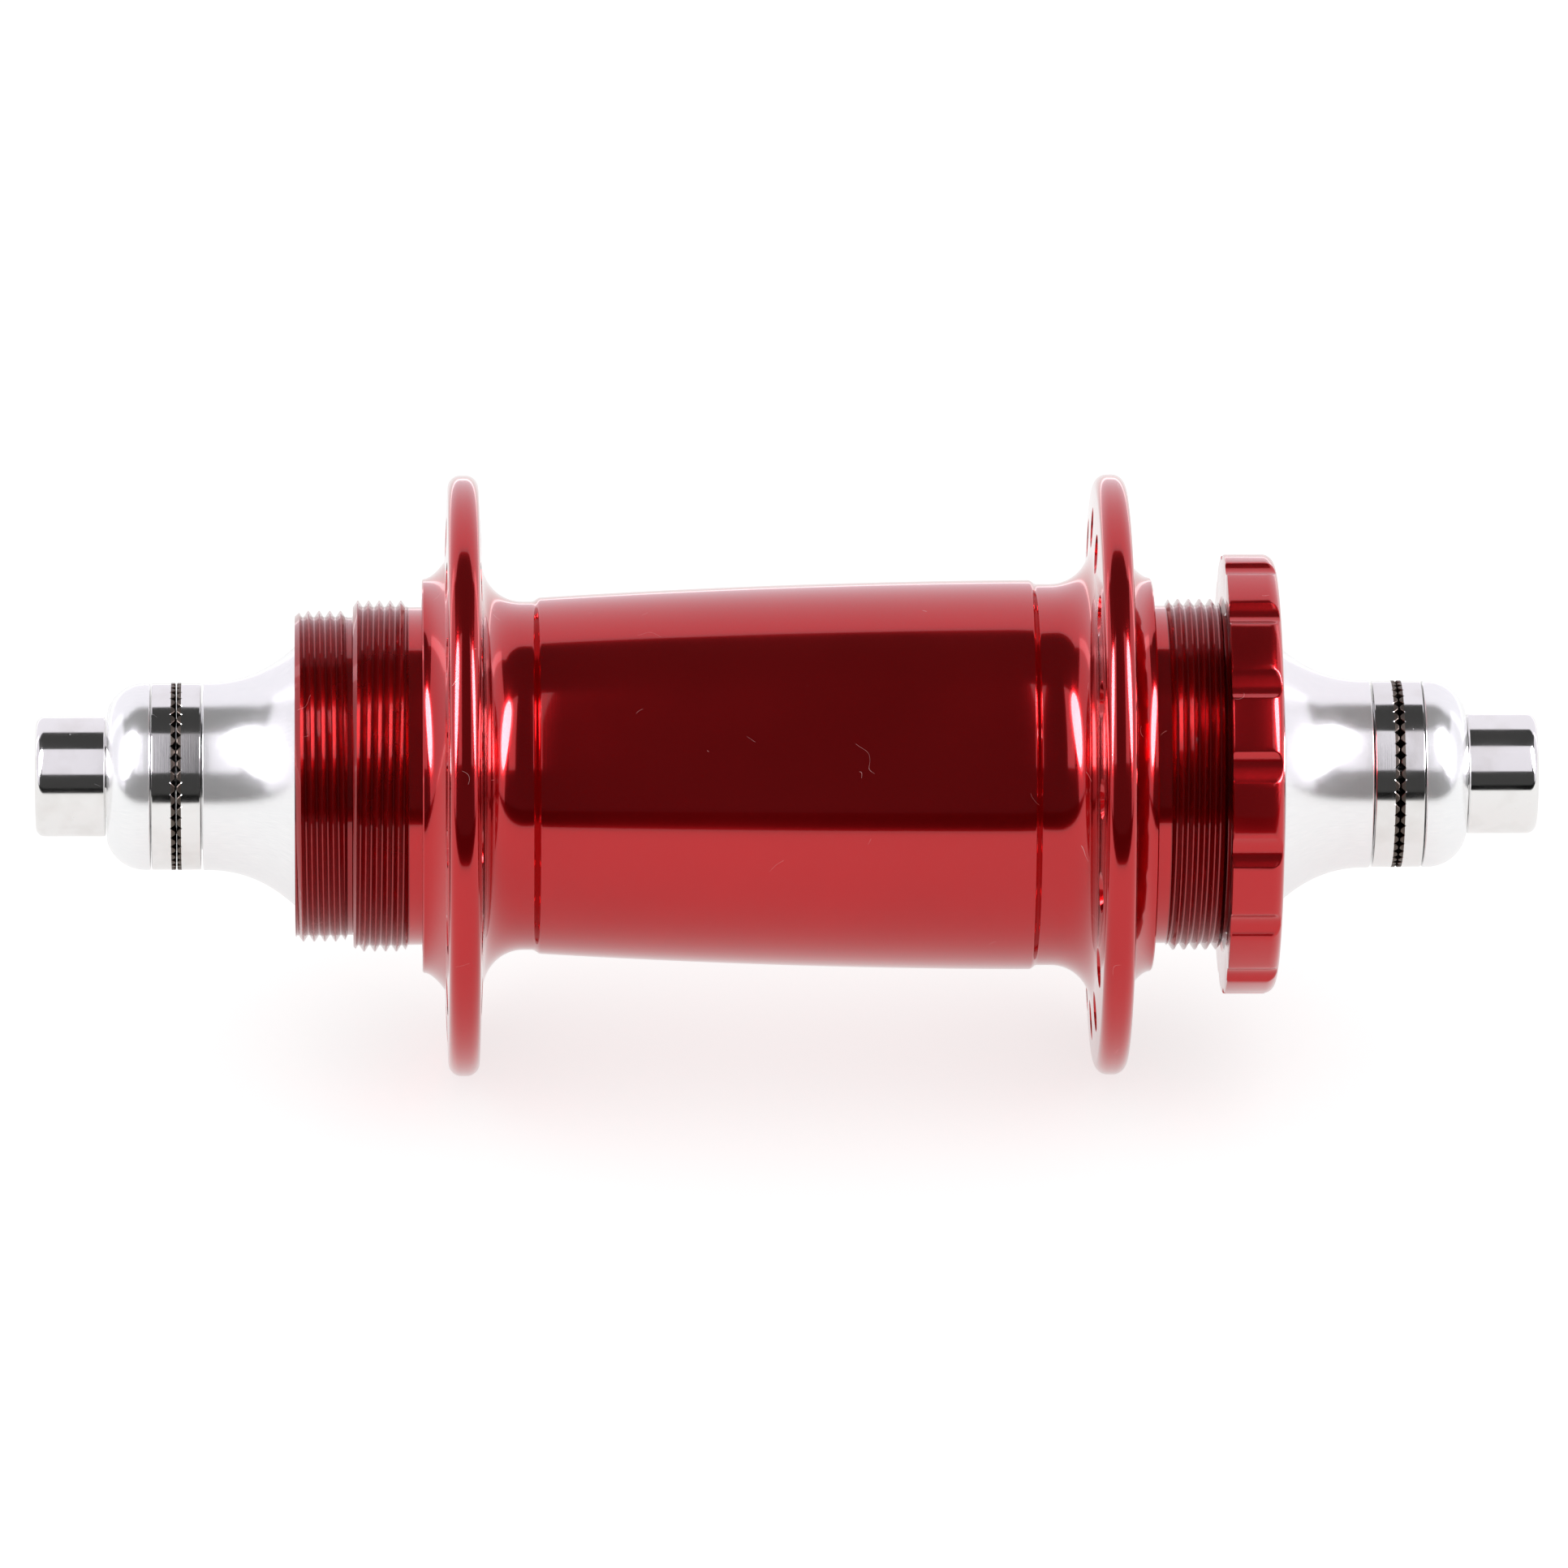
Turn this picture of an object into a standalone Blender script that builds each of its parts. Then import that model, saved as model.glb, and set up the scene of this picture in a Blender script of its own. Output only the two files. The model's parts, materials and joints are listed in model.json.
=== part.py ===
"""Double fixed track hub: a spinning shell on cartridge bearings, with a bolt-on axle.

Units are metres. The hub's axis is +Y, its origin the middle of the axle. Each end's
pieces are modelled once along a local +Z that points outwards, and their parent empty
turns that to -Y (left) or +Y (right).
"""

import math

import bmesh
import bpy
from mathutils import Matrix, Vector

# Widths along the axle
DROPOUT_WIDTH = 0.120  # over the teeth that grip the inside of the frame's dropouts
FLANGE_SPACING = 0.06368  # middle of one flange to the middle of the other
FLANGE_TO_SEAT = 0.00406  # middle of a flange to the face that a sprocket screws up to
RELIEF_WIDTH = 0.0014  # run-out groove behind the sprocket's thread
SPROCKET_THREAD_LENGTH = 0.0054
LOCKRING_THREAD_LENGTH = 0.0057
CAP_GAP = 0.0004  # dark line between an end cap and its serrated ring

# Shell
FLANGE_DIAMETER = 0.0592
FLANGE_RIM_WIDTH = 0.0031
FLANGE_ROOT_WIDTH = 0.0037
FLANGE_CORNER = 0.0013
SPOKE_PLACE = 0.4  # where the spoke holes stand, as a share of the way from root to rim
SPOKE_HOLE = 0.0025
SPOKES_PER_FLANGE = 16
BARREL_LEFT_RADIUS = 0.01757
BARREL_RIGHT_RADIUS = 0.0192
BARREL_CROWN = 0.00035  # how far the barrel bulges past a straight taper
BARREL_STEP = 0.0004  # height of the small step at each end of the barrel
BARREL_TO_FLANGE = 0.0072  # end of the barrel to the middle of the flange
FILLET_LENGTH = 0.0040
FILLET_HEIGHT = 0.0041
SEAT_RADIUS = 0.0194
FLARE_HEIGHT = 0.0017  # rise of the hollow flare from a sprocket seat to its flange
SEAT_UNDERCUT = 0.00035
BORE_RELIEF = 0.0006  # how much narrower than a bearing's seat the middle of the bore is
BEARING_STOP_HEIGHT = 0.0016
BEARING_STOP_WIDTH = 0.0030

# Threads, as rings of the real pitch and depth
THREAD_PITCH = 0.0254 / 24
THREAD_DEPTH = 0.0006
SPROCKET_THREAD_RADIUS = 0.0173
LOCKRING_THREAD_RADIUS = 0.0163
THREAD_RELIEF_RADIUS = SPROCKET_THREAD_RADIUS - THREAD_DEPTH

# Lockring
LOCKRING_RADIUS = 0.0217
LOCKRING_WIDTH = 0.0051
LOCKRING_CORNER = 0.0013
LOCKRING_DISH = 0.0003
LOBES = 16
NOTCH_DEPTH = 0.0006
NOTCH_RADIUS = 0.00245
LOBE_PHASE = math.radians(-12.9)  # one lobe stands this far above +X

# Cartridge bearing
BEARING_BORE = 0.015
BEARING_OUTSIDE = 0.028
BEARING_WIDTH = 0.007
BEARING_INSET = 0.0019  # depth of the bearing's face inside the shell's end
RACE_SHARE = 0.245  # a race's wall as a share of the bearing's section
BALL_SHARE = 0.27  # a ball's radius as a share of the bearing's section
BALLS = 11
CAGE_WALL = 0.0008
CAGE_WIDTH = 0.0024
SEAL_WIDTH = 0.0005

# Axle and its ends
SHOULDER_HEIGHT = 0.0011  # step on the axle that an inner race stops against
BOSS_RADIUS = 0.005  # axle's end, which the dropout sits on
BOSS_LENGTH = 0.0045  # how far the boss stands out past the dropout's inner face
AXLE_BORE_RADIUS = 0.0033
BOLT_RADIUS = 0.004
BOLT_THREAD_LENGTH = 0.0245
BOLT_HEAD_RADIUS = 0.0059
BOLT_HEAD_LENGTH = 0.0069
BOLT_HEAD_CORNER = 0.0009
HEX_ACROSS_FLATS = 0.006
HEX_DEPTH = 0.005
GRIP_RADIUS = 0.0092  # serrated rings and dome washer
GRIP_THICKNESS = 0.00234
GRIP_TEETH = 48
TOOTH_HEIGHT = 0.00045
DOME_LENGTH = 0.00425
DOME_CURVE = 0.0039
DOME_RIM = 0.00055
CAP_LIP_GAP = 0.0012  # running gap round the cap's lip, inside the shell's mouth
CAP_NECK_RADIUS = 0.00924
CAP_LIP_DEPTH = 0.0010  # how far the cap's lip reaches into the shell's mouth
CAP_NOSE_SHARE = 0.75  # how much of the inner race's wall the cap presses on

# Fits
SEAT_GAP = 0.00015  # between pieces that touch
RUN_GAP = 0.00015  # between pieces that move
LOCKRING_GAP = 0.0003  # lockring's face to the sprocket thread's end

SHELL_SEGMENTS = 36
LOCKRING_SEGMENTS = 48
ROUND_SEGMENTS = 32
SMALL_SEGMENTS = 24

# Stations, each the distance from the middle of the axle
FLANGE_MIDDLE = FLANGE_SPACING / 2
SEAT_FACE = FLANGE_MIDDLE + FLANGE_TO_SEAT
SPROCKET_THREAD_START = SEAT_FACE + RELIEF_WIDTH
LOCKRING_THREAD_START = SPROCKET_THREAD_START + SPROCKET_THREAD_LENGTH
SHELL_END = LOCKRING_THREAD_START + LOCKRING_THREAD_LENGTH
BEARING_OUTER_FACE = SHELL_END - BEARING_INSET
BEARING_INNER_FACE = BEARING_OUTER_FACE - BEARING_WIDTH
BEARING_MIDDLE = (BEARING_OUTER_FACE + BEARING_INNER_FACE) / 2
DROPOUT_FACE = DROPOUT_WIDTH / 2
GRIP_BACK = DROPOUT_FACE - GRIP_THICKNESS
CAP_END = GRIP_BACK - CAP_GAP
OUTER_GRIP_FACE = DROPOUT_FACE + SEAT_GAP
DOME_BASE = OUTER_GRIP_FACE + GRIP_THICKNESS + SEAT_GAP
HEAD_BASE = DOME_BASE + DOME_LENGTH + SEAT_GAP
HEAD_END = HEAD_BASE + BOLT_HEAD_LENGTH

BEARING_BORE_RADIUS = BEARING_BORE / 2
BEARING_SEAT_RADIUS = BEARING_OUTSIDE / 2
BEARING_SECTION = BEARING_SEAT_RADIUS - BEARING_BORE_RADIUS
BALL_CIRCLE = (BEARING_BORE_RADIUS + BEARING_SEAT_RADIUS) / 2
BALL_RADIUS = BALL_SHARE * BEARING_SECTION
RACE_WALL = RACE_SHARE * BEARING_SECTION
CAP_LIP_RADIUS = BEARING_SEAT_RADIUS - CAP_LIP_GAP


def clear_scene():
    for obj in list(bpy.data.objects):
        bpy.data.objects.remove(obj)


def new_collection(name):
    collection = bpy.data.collections.new(name)
    bpy.context.scene.collection.children.link(collection)
    return collection


def new_empty(name, turn, collection):
    empty = bpy.data.objects.new(name, None)
    empty.rotation_euler = (turn, 0, 0)
    empty.empty_display_size = 0.01
    collection.objects.link(empty)
    return empty


def finish_material(name, color, roughness, metallic):
    material = bpy.data.materials.new(name)
    material.use_nodes = True
    shader = material.node_tree.nodes["Principled BSDF"]
    shader.inputs["Base Color"].default_value = (*color, 1)
    shader.inputs["Roughness"].default_value = roughness
    shader.inputs["Metallic"].default_value = metallic
    material.diffuse_color = (*color, 1)
    return material


FINISHES = {
    "red_anodised": ((0.50, 0.012, 0.02), 0.22, 1.0),
    "satin_aluminium": ((0.78, 0.78, 0.79), 0.32, 1.0),
    "polished_steel": ((0.62, 0.62, 0.63), 0.12, 1.0),
    "bearing_steel": ((0.55, 0.55, 0.57), 0.18, 1.0),
    "seal_rubber": ((0.02, 0.02, 0.022), 0.55, 0.0),
}


def new_object(name, mesh, finish, parent, collection):
    obj = bpy.data.objects.new(name, mesh)
    obj.parent = parent
    if finish:
        mesh.materials.append(finish_material(f"{name}_{finish}", *FINISHES[finish]))
    collection.objects.link(obj)
    return obj


def arc(middle, radius, start, stop, steps):
    """Points (axial, radial) of an arc; angles are from the outward axis towards the rim."""
    points = []
    for i in range(steps + 1):
        angle = math.radians(start + (stop - start) * i / steps)
        points.append((middle[0] + radius * math.cos(angle), middle[1] + radius * math.sin(angle)))
    return points


def thread_rings(start, length, crest):
    """Points of V-shaped ridges that fill a length, each a whole pitch wide."""
    root = crest - THREAD_DEPTH
    points = []
    for i in range(int(length / THREAD_PITCH)):
        points.append((start + i * THREAD_PITCH, root))
        points.append((start + (i + 0.5) * THREAD_PITCH, crest))
    points.append((points[-1][0] + THREAD_PITCH / 2, root))
    return points


def closed_outline(outer, inner):
    """One loop from an outer and an inner side, both given from inboard to outboard."""
    return list(reversed(outer)) + inner


def profile_mesh(name, outline):
    mesh = bpy.data.meshes.new(name)
    corners = [(radial, 0, axial) for axial, radial in outline]
    edges = [(i, (i + 1) % len(corners)) for i in range(len(corners))]
    mesh.from_pydata(corners, edges, [])
    return mesh


def turned(name, outline, segments, finish, parent, collection):
    """A solid of revolution about the parent's +Z."""
    obj = new_object(name, profile_mesh(name, outline), finish, parent, collection)
    screw = obj.modifiers.new("turn", "SCREW")
    screw.axis = "Z"
    screw.steps = screw.render_steps = segments
    screw.use_merge_vertices = True
    screw.merge_threshold = 0.00001
    screw.use_smooth_shade = False
    return obj


def cut(obj, cutter):
    modifier = obj.modifiers.new("cut", "BOOLEAN")
    modifier.operation = "DIFFERENCE"
    modifier.solver = "EXACT"
    modifier.object = cutter


def cutter_object(name, bm, parent, collection):
    mesh = bpy.data.meshes.new(name)
    bmesh.ops.recalc_face_normals(bm, faces=bm.faces)
    bm.to_mesh(mesh)
    bm.free()
    obj = new_object(name, mesh, None, parent, collection)
    obj.hide_render = True
    obj.display_type = "WIRE"
    return obj


def shell_end_outer():
    """Outside of one end of the shell, from the flange's rim out to the end face."""
    half_rim, half_root = FLANGE_RIM_WIDTH / 2, FLANGE_ROOT_WIDTH / 2
    rim_radius = FLANGE_DIAMETER / 2
    corner = (FLANGE_MIDDLE + half_rim - FLANGE_CORNER, rim_radius - FLANGE_CORNER)
    rim = [(a, r) for a, r in reversed(arc(corner, FLANGE_CORNER, 0, 90, 3))]
    flare_start = FLANGE_MIDDLE + half_root
    flare = []
    for share in (0, 0.35, 0.7, 1):
        along = flare_start + (SEAT_FACE - flare_start) * share
        flare.append((along, SEAT_RADIUS + FLARE_HEIGHT * (1 - share) ** 1.7))
    undercut = SPROCKET_THREAD_RADIUS + SEAT_GAP * 2
    seat = [
        (SEAT_FACE, undercut),
        (SEAT_FACE - SEAT_UNDERCUT, undercut),
        (SEAT_FACE - SEAT_UNDERCUT, THREAD_RELIEF_RADIUS),
    ]
    sprocket_thread = thread_rings(
        SPROCKET_THREAD_START, SPROCKET_THREAD_LENGTH, SPROCKET_THREAD_RADIUS
    )
    lockring_thread = thread_rings(
        LOCKRING_THREAD_START, LOCKRING_THREAD_LENGTH, LOCKRING_THREAD_RADIUS
    )
    land = [(LOCKRING_THREAD_START, SPROCKET_THREAD_RADIUS - THREAD_DEPTH)]
    nose = [(SHELL_END, LOCKRING_THREAD_RADIUS - 2 * THREAD_DEPTH)]
    return rim + flare + seat + sprocket_thread + land + lockring_thread + nose


def shell_end_inner():
    """Inside of one end of the shell, from its middle out to the mouth."""
    stop_start = BEARING_INNER_FACE - BEARING_STOP_WIDTH
    stop = BEARING_SEAT_RADIUS - BEARING_STOP_HEIGHT
    bore = BEARING_SEAT_RADIUS - BORE_RELIEF
    return [
        (stop_start - (bore - stop), bore),
        (stop_start, stop),
        (BEARING_INNER_FACE, stop),
        (BEARING_INNER_FACE, BEARING_SEAT_RADIUS),
        (SHELL_END, BEARING_SEAT_RADIUS),
    ]


def flange_inside(barrel_radius):
    """One flange's inner side and fillet, from the end of the barrel out to the rim."""
    neck = barrel_radius - BARREL_STEP
    foot = FLANGE_MIDDLE - BARREL_TO_FLANGE
    face = FLANGE_MIDDLE - FLANGE_ROOT_WIDTH / 2
    points = [(foot, barrel_radius), (foot + BARREL_STEP, neck)]
    for degrees in (0, 30, 55, 75, 90):
        angle = math.radians(degrees)
        along = face - FILLET_LENGTH * (1 - math.sin(angle))
        points.append((along, neck + FILLET_HEIGHT * (1 - math.cos(angle))))
    half_rim = FLANGE_RIM_WIDTH / 2
    corner = (
        FLANGE_MIDDLE - half_rim + FLANGE_CORNER,
        FLANGE_DIAMETER / 2 - FLANGE_CORNER,
    )
    return points + list(reversed(arc(corner, FLANGE_CORNER, 90, 180, 3)))


def barrel_points():
    """Points between the barrel's two ends, on a taper that bulges."""
    end = FLANGE_MIDDLE - BARREL_TO_FLANGE
    points = []
    for share in (0.2, 0.4, 0.6, 0.8):
        straight = BARREL_LEFT_RADIUS + (BARREL_RIGHT_RADIUS - BARREL_LEFT_RADIUS) * share
        bulge = BARREL_CROWN * 4 * share * (1 - share)
        points.append((end * (2 * share - 1), straight + bulge))
    return points


def other_end(points):
    return [(-axial, radial) for axial, radial in reversed(points)]


def spoke_cutter(parent, collection):
    root = SEAT_RADIUS + FLARE_HEIGHT
    spoke_circle = root + SPOKE_PLACE * (FLANGE_DIAMETER / 2 - root)
    bm = bmesh.new()
    for side in (-1, 1):
        for i in range(SPOKES_PER_FLANGE):
            share = i + (0.25 if side > 0 else 0.75)
            turn = Matrix.Rotation(2 * math.pi * share / SPOKES_PER_FLANGE, 4, "Z")
            place = Matrix.Translation((spoke_circle, 0, side * FLANGE_MIDDLE))
            bmesh.ops.create_cone(
                bm,
                cap_ends=True,
                segments=8,
                radius1=SPOKE_HOLE / 2,
                radius2=SPOKE_HOLE / 2,
                depth=2 * FLANGE_ROOT_WIDTH,
                matrix=turn @ place,
            )
    return cutter_object("spoke_hole_cutter", bm, parent, collection)


def make_shell(parent, parts, cutters):
    left, right = BARREL_LEFT_RADIUS, BARREL_RIGHT_RADIUS
    outer = (
        other_end(flange_inside(left) + shell_end_outer())
        + barrel_points()
        + flange_inside(right)
        + shell_end_outer()
    )
    inner = other_end(shell_end_inner()) + shell_end_inner()
    outline = closed_outline(outer, inner)
    shell = turned("hub_shell", outline, SHELL_SEGMENTS, "red_anodised", parent, parts)
    cut(shell, spoke_cutter(parent, cutters))


def notch_cutter(parent, collection, start, width):
    """Rods between the lobes, which hollow out the lockring's rim."""
    bm = bmesh.new()
    for i in range(LOBES):
        turn = Matrix.Rotation(LOBE_PHASE + 2 * math.pi * (i + 0.5) / LOBES, 4, "Z")
        middle = LOCKRING_RADIUS - NOTCH_DEPTH + NOTCH_RADIUS
        place = Matrix.Translation((middle, 0, start + width / 2))
        bmesh.ops.create_cone(
            bm,
            cap_ends=True,
            segments=20,
            radius1=NOTCH_RADIUS,
            radius2=NOTCH_RADIUS,
            depth=2 * width,
            matrix=turn @ place,
        )
    return cutter_object("lockring_notch_cutter", bm, parent, collection)


def make_lockring(parent, parts, cutters):
    start = LOCKRING_THREAD_START + LOCKRING_GAP
    end = start + LOCKRING_WIDTH
    bore = LOCKRING_THREAD_RADIUS + RUN_GAP
    mouth = SPROCKET_THREAD_RADIUS + 2 * SEAT_GAP
    corner = (end - LOCKRING_CORNER, LOCKRING_RADIUS - LOCKRING_CORNER)
    outer = [(start, LOCKRING_RADIUS - 2 * LOCKRING_DISH), (start + 2 * LOCKRING_DISH, LOCKRING_RADIUS)]
    outer += list(reversed(arc(corner, LOCKRING_CORNER, 0, 90, 3)))
    inner = [(start, mouth), (start + mouth - bore, bore), (end - LOCKRING_DISH, bore)]
    outline = closed_outline(outer, inner)
    ring = turned("lockring", outline, LOCKRING_SEGMENTS, "red_anodised", parent, parts)
    cut(ring, notch_cutter(parent, cutters, start, LOCKRING_WIDTH))


def make_axle(parent, parts):
    shoulder = BEARING_INNER_FACE - SEAT_GAP
    seat = BEARING_BORE_RADIUS - SEAT_GAP
    boss_end = DROPOUT_FACE + BOSS_LENGTH
    tapped = BOLT_RADIUS + RUN_GAP
    tapped_from = HEAD_BASE - BOLT_THREAD_LENGTH - BOLT_RADIUS
    chamfer = (BOSS_RADIUS - tapped) / 3
    outer = [
        (shoulder, BEARING_BORE_RADIUS + SHOULDER_HEIGHT),
        (shoulder, seat),
        (BEARING_OUTER_FACE, seat),
        (BEARING_OUTER_FACE, BOSS_RADIUS),
        (boss_end - chamfer, BOSS_RADIUS),
        (boss_end, BOSS_RADIUS - chamfer),
    ]
    inner = [(tapped_from, AXLE_BORE_RADIUS), (tapped_from, tapped), (boss_end, tapped)]
    outline = closed_outline(other_end(outer) + outer, other_end(inner) + inner)
    turned("axle", outline, SMALL_SEGMENTS, "bearing_steel", parent, parts)


def groove(middle, radius, shoulder):
    """Angle in degrees at which a ball's groove meets a race's shoulder."""
    return math.degrees(math.acos(abs(shoulder - middle) / radius))


def make_bearing(side, parent, parts):
    first, last = BEARING_INNER_FACE + SEAT_GAP, BEARING_OUTER_FACE - SEAT_GAP
    inner_top = BEARING_BORE_RADIUS + RACE_WALL
    outer_low = BEARING_SEAT_RADIUS - RACE_WALL
    centre = (BEARING_MIDDLE, BALL_CIRCLE)
    track = BALL_RADIUS + RUN_GAP
    reach = groove(BALL_CIRCLE, track, inner_top)
    inner_groove = arc(centre, track, 270 - reach, 270 + reach, 3)
    turned(
        f"{side}_inner_race",
        closed_outline(
            [(first, inner_top), *inner_groove, (last, inner_top)],
            [(first, BEARING_BORE_RADIUS), (last, BEARING_BORE_RADIUS)],
        ),
        SMALL_SEGMENTS,
        "bearing_steel",
        parent,
        parts,
    )
    reach = groove(BALL_CIRCLE, track, outer_low)
    outer_groove = arc(centre, track, 90 + reach, 90 - reach, 3)
    fit = BEARING_SEAT_RADIUS - SEAT_GAP
    turned(
        f"{side}_outer_race",
        closed_outline([(first, fit), (last, fit)], [(first, outer_low), *outer_groove, (last, outer_low)]),
        SMALL_SEGMENTS,
        "bearing_steel",
        parent,
        parts,
    )
    make_cage(side, parent, parts)
    for place, start in (("inner", first), ("outer", last - SEAL_WIDTH)):
        low, high = inner_top + RUN_GAP, outer_low - SEAT_GAP
        turned(
            f"{side}_{place}_seal",
            closed_outline(
                [(start, high), (start + SEAL_WIDTH, high)],
                [(start, low), (start + SEAL_WIDTH, low)],
            ),
            SMALL_SEGMENTS,
            "seal_rubber",
            parent,
            parts,
        )


def make_cage(side, parent, parts):
    """The cage's ring, joined with the balls that it carries."""
    low, high = BALL_CIRCLE - CAGE_WALL / 2, BALL_CIRCLE + CAGE_WALL / 2
    start, end = BEARING_MIDDLE - CAGE_WIDTH / 2, BEARING_MIDDLE + CAGE_WIDTH / 2
    cage = turned(
        f"{side}_ball_cage",
        closed_outline([(start, high), (end, high)], [(start, low), (end, low)]),
        2 * BALLS,
        "bearing_steel",
        parent,
        parts,
    )
    bm = bmesh.new()
    for i in range(BALLS):
        turn = Matrix.Rotation(2 * math.pi * (i + 0.5) / BALLS, 4, "Z")
        place = Matrix.Translation((BALL_CIRCLE, 0, BEARING_MIDDLE))
        bmesh.ops.create_icosphere(bm, subdivisions=2, radius=BALL_RADIUS, matrix=turn @ place)
    balls = cutter_object(f"{side}_balls", bm, parent, bpy.data.collections["hub_cutters"])
    join = cage.modifiers.new("balls", "BOOLEAN")
    join.operation = "UNION"
    join.solver = "EXACT"
    join.object = balls


def make_end_cap(side, parent, parts):
    """Bell-shaped cap: it clamps the inner race, and a narrow boss meets the serrated ring."""
    start = BEARING_OUTER_FACE + SEAT_GAP
    lip = SHELL_END - CAP_LIP_DEPTH
    length = CAP_END - SHELL_END
    drop = CAP_LIP_RADIUS - CAP_NECK_RADIUS
    nose = BEARING_BORE_RADIUS + CAP_NOSE_SHARE * RACE_WALL
    outer = [(start, nose), (lip, nose), (lip, CAP_LIP_RADIUS)]
    for share in (0, 0.08, 0.17, 0.28, 0.42, 0.62, 1):
        outer.append((SHELL_END + length * share, CAP_NECK_RADIUS + drop * (1 - share) ** 2.8))
    bore = BOSS_RADIUS + SEAT_GAP
    narrow = (bore + CAP_NECK_RADIUS) / 2
    stand = GRIP_BACK - SEAT_GAP
    outer += [(CAP_END, narrow), (stand, narrow)]
    outline = closed_outline(outer, [(start, bore), (stand, bore)])
    turned(f"{side}_end_cap", outline, ROUND_SEGMENTS, "satin_aluminium", parent, parts)


def grip_ring(name, back, face, parent, parts):
    """A steel ring with radial teeth on its face. Its back may be on either side of its face."""
    outward = 1 if face > back else -1
    bore = BOSS_RADIUS + SEAT_GAP
    outline = [(bore, face), (GRIP_RADIUS, face), (GRIP_RADIUS, back), (bore, back)]
    bm = bmesh.new()
    corners = [bm.verts.new((radial, 0, axial)) for radial, axial in outline]
    edges = [bm.edges.new((corners[i - 1], corners[i])) for i in range(len(corners))]
    bmesh.ops.spin(
        bm,
        geom=corners + edges,
        axis=(0, 0, 1),
        cent=(0, 0, 0),
        angle=2 * math.pi,
        steps=2 * GRIP_TEETH,
        use_merge=True,
        use_duplicate=False,
    )
    bmesh.ops.remove_doubles(bm, verts=bm.verts, dist=0.000001)
    for vert in bm.verts:
        on_edge = Vector(vert.co.xy).length > GRIP_RADIUS - TOOTH_HEIGHT
        if on_edge and abs(vert.co.z - face) < TOOTH_HEIGHT / 2:
            place = round(math.atan2(vert.co.y, vert.co.x) * GRIP_TEETH / math.pi)
            if place % 2:
                vert.co.z -= outward * TOOTH_HEIGHT
    bmesh.ops.recalc_face_normals(bm, faces=bm.faces)
    mesh = bpy.data.meshes.new(name)
    bm.to_mesh(mesh)
    bm.free()
    new_object(name, mesh, "polished_steel", parent, parts)


def make_dome_washer(side, parent, parts):
    """Washer under the bolt head, hollowed to clear the end of the axle."""
    end = DOME_BASE + DOME_LENGTH
    middle = (DOME_BASE + DOME_RIM, GRIP_RADIUS - DOME_CURVE)
    sweep = math.degrees(math.acos((DOME_LENGTH - DOME_RIM) / DOME_CURVE))
    outer = [(DOME_BASE, GRIP_RADIUS), *reversed(arc(middle, DOME_CURVE, sweep, 90, 4))]
    recess = DROPOUT_FACE + BOSS_LENGTH + 2 * SEAT_GAP
    inner = [
        (DOME_BASE, BOSS_RADIUS + SEAT_GAP),
        (recess, BOSS_RADIUS + SEAT_GAP),
        (recess, BOLT_RADIUS + SEAT_GAP),
        (end, BOLT_RADIUS + SEAT_GAP),
    ]
    outline = closed_outline(outer, inner)
    turned(f"{side}_dome_washer", outline, SMALL_SEGMENTS, "satin_aluminium", parent, parts)


def make_bolt(side, parent, parts, cutters):
    corner = (HEAD_END - BOLT_HEAD_CORNER, BOLT_HEAD_RADIUS - BOLT_HEAD_CORNER)
    tip = HEAD_BASE - BOLT_THREAD_LENGTH
    chamfer = BOLT_RADIUS / 5
    outline = [
        (HEAD_END, 0),
        *arc(corner, BOLT_HEAD_CORNER, 0, 90, 3),
        (HEAD_BASE, BOLT_HEAD_RADIUS),
        (HEAD_BASE, BOLT_RADIUS),
        (tip + chamfer, BOLT_RADIUS),
        (tip, BOLT_RADIUS - chamfer),
        (tip, 0),
    ]
    bolt = new_object(
        f"{side}_axle_bolt", profile_mesh(side, outline), "polished_steel", parent, parts
    )
    screw = bolt.modifiers.new("turn", "SCREW")
    screw.axis = "Z"
    screw.steps = screw.render_steps = SMALL_SEGMENTS
    screw.use_merge_vertices = True
    screw.merge_threshold = 0.00001
    bm = bmesh.new()
    corner_radius = HEX_ACROSS_FLATS / math.sqrt(3)
    bmesh.ops.create_cone(
        bm,
        cap_ends=True,
        segments=6,
        radius1=corner_radius,
        radius2=corner_radius,
        depth=2 * HEX_DEPTH,
        matrix=Matrix.Translation((0, 0, HEAD_END)),
    )
    cut(bolt, cutter_object(f"{side}_hex_cutter", bm, parent, cutters))


def main():
    clear_scene()
    parts, cutters = new_collection("track_hub"), new_collection("hub_cutters")
    left_end = new_empty("left_end", math.pi / 2, parts)
    right_end = new_empty("right_end", -math.pi / 2, parts)
    make_shell(right_end, parts, cutters)
    make_lockring(right_end, parts, cutters)
    make_axle(right_end, parts)
    for side, end in (("left", left_end), ("right", right_end)):
        make_bearing(side, end, parts)
        make_end_cap(side, end, parts)
        grip_ring(f"{side}_inner_serrated_ring", GRIP_BACK, DROPOUT_FACE, end, parts)
        outer_back = OUTER_GRIP_FACE + GRIP_THICKNESS
        grip_ring(f"{side}_outer_serrated_washer", outer_back, OUTER_GRIP_FACE, end, parts)
        make_dome_washer(side, end, parts)
        make_bolt(side, end, parts, cutters)


main()
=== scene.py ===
import json
import math

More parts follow.
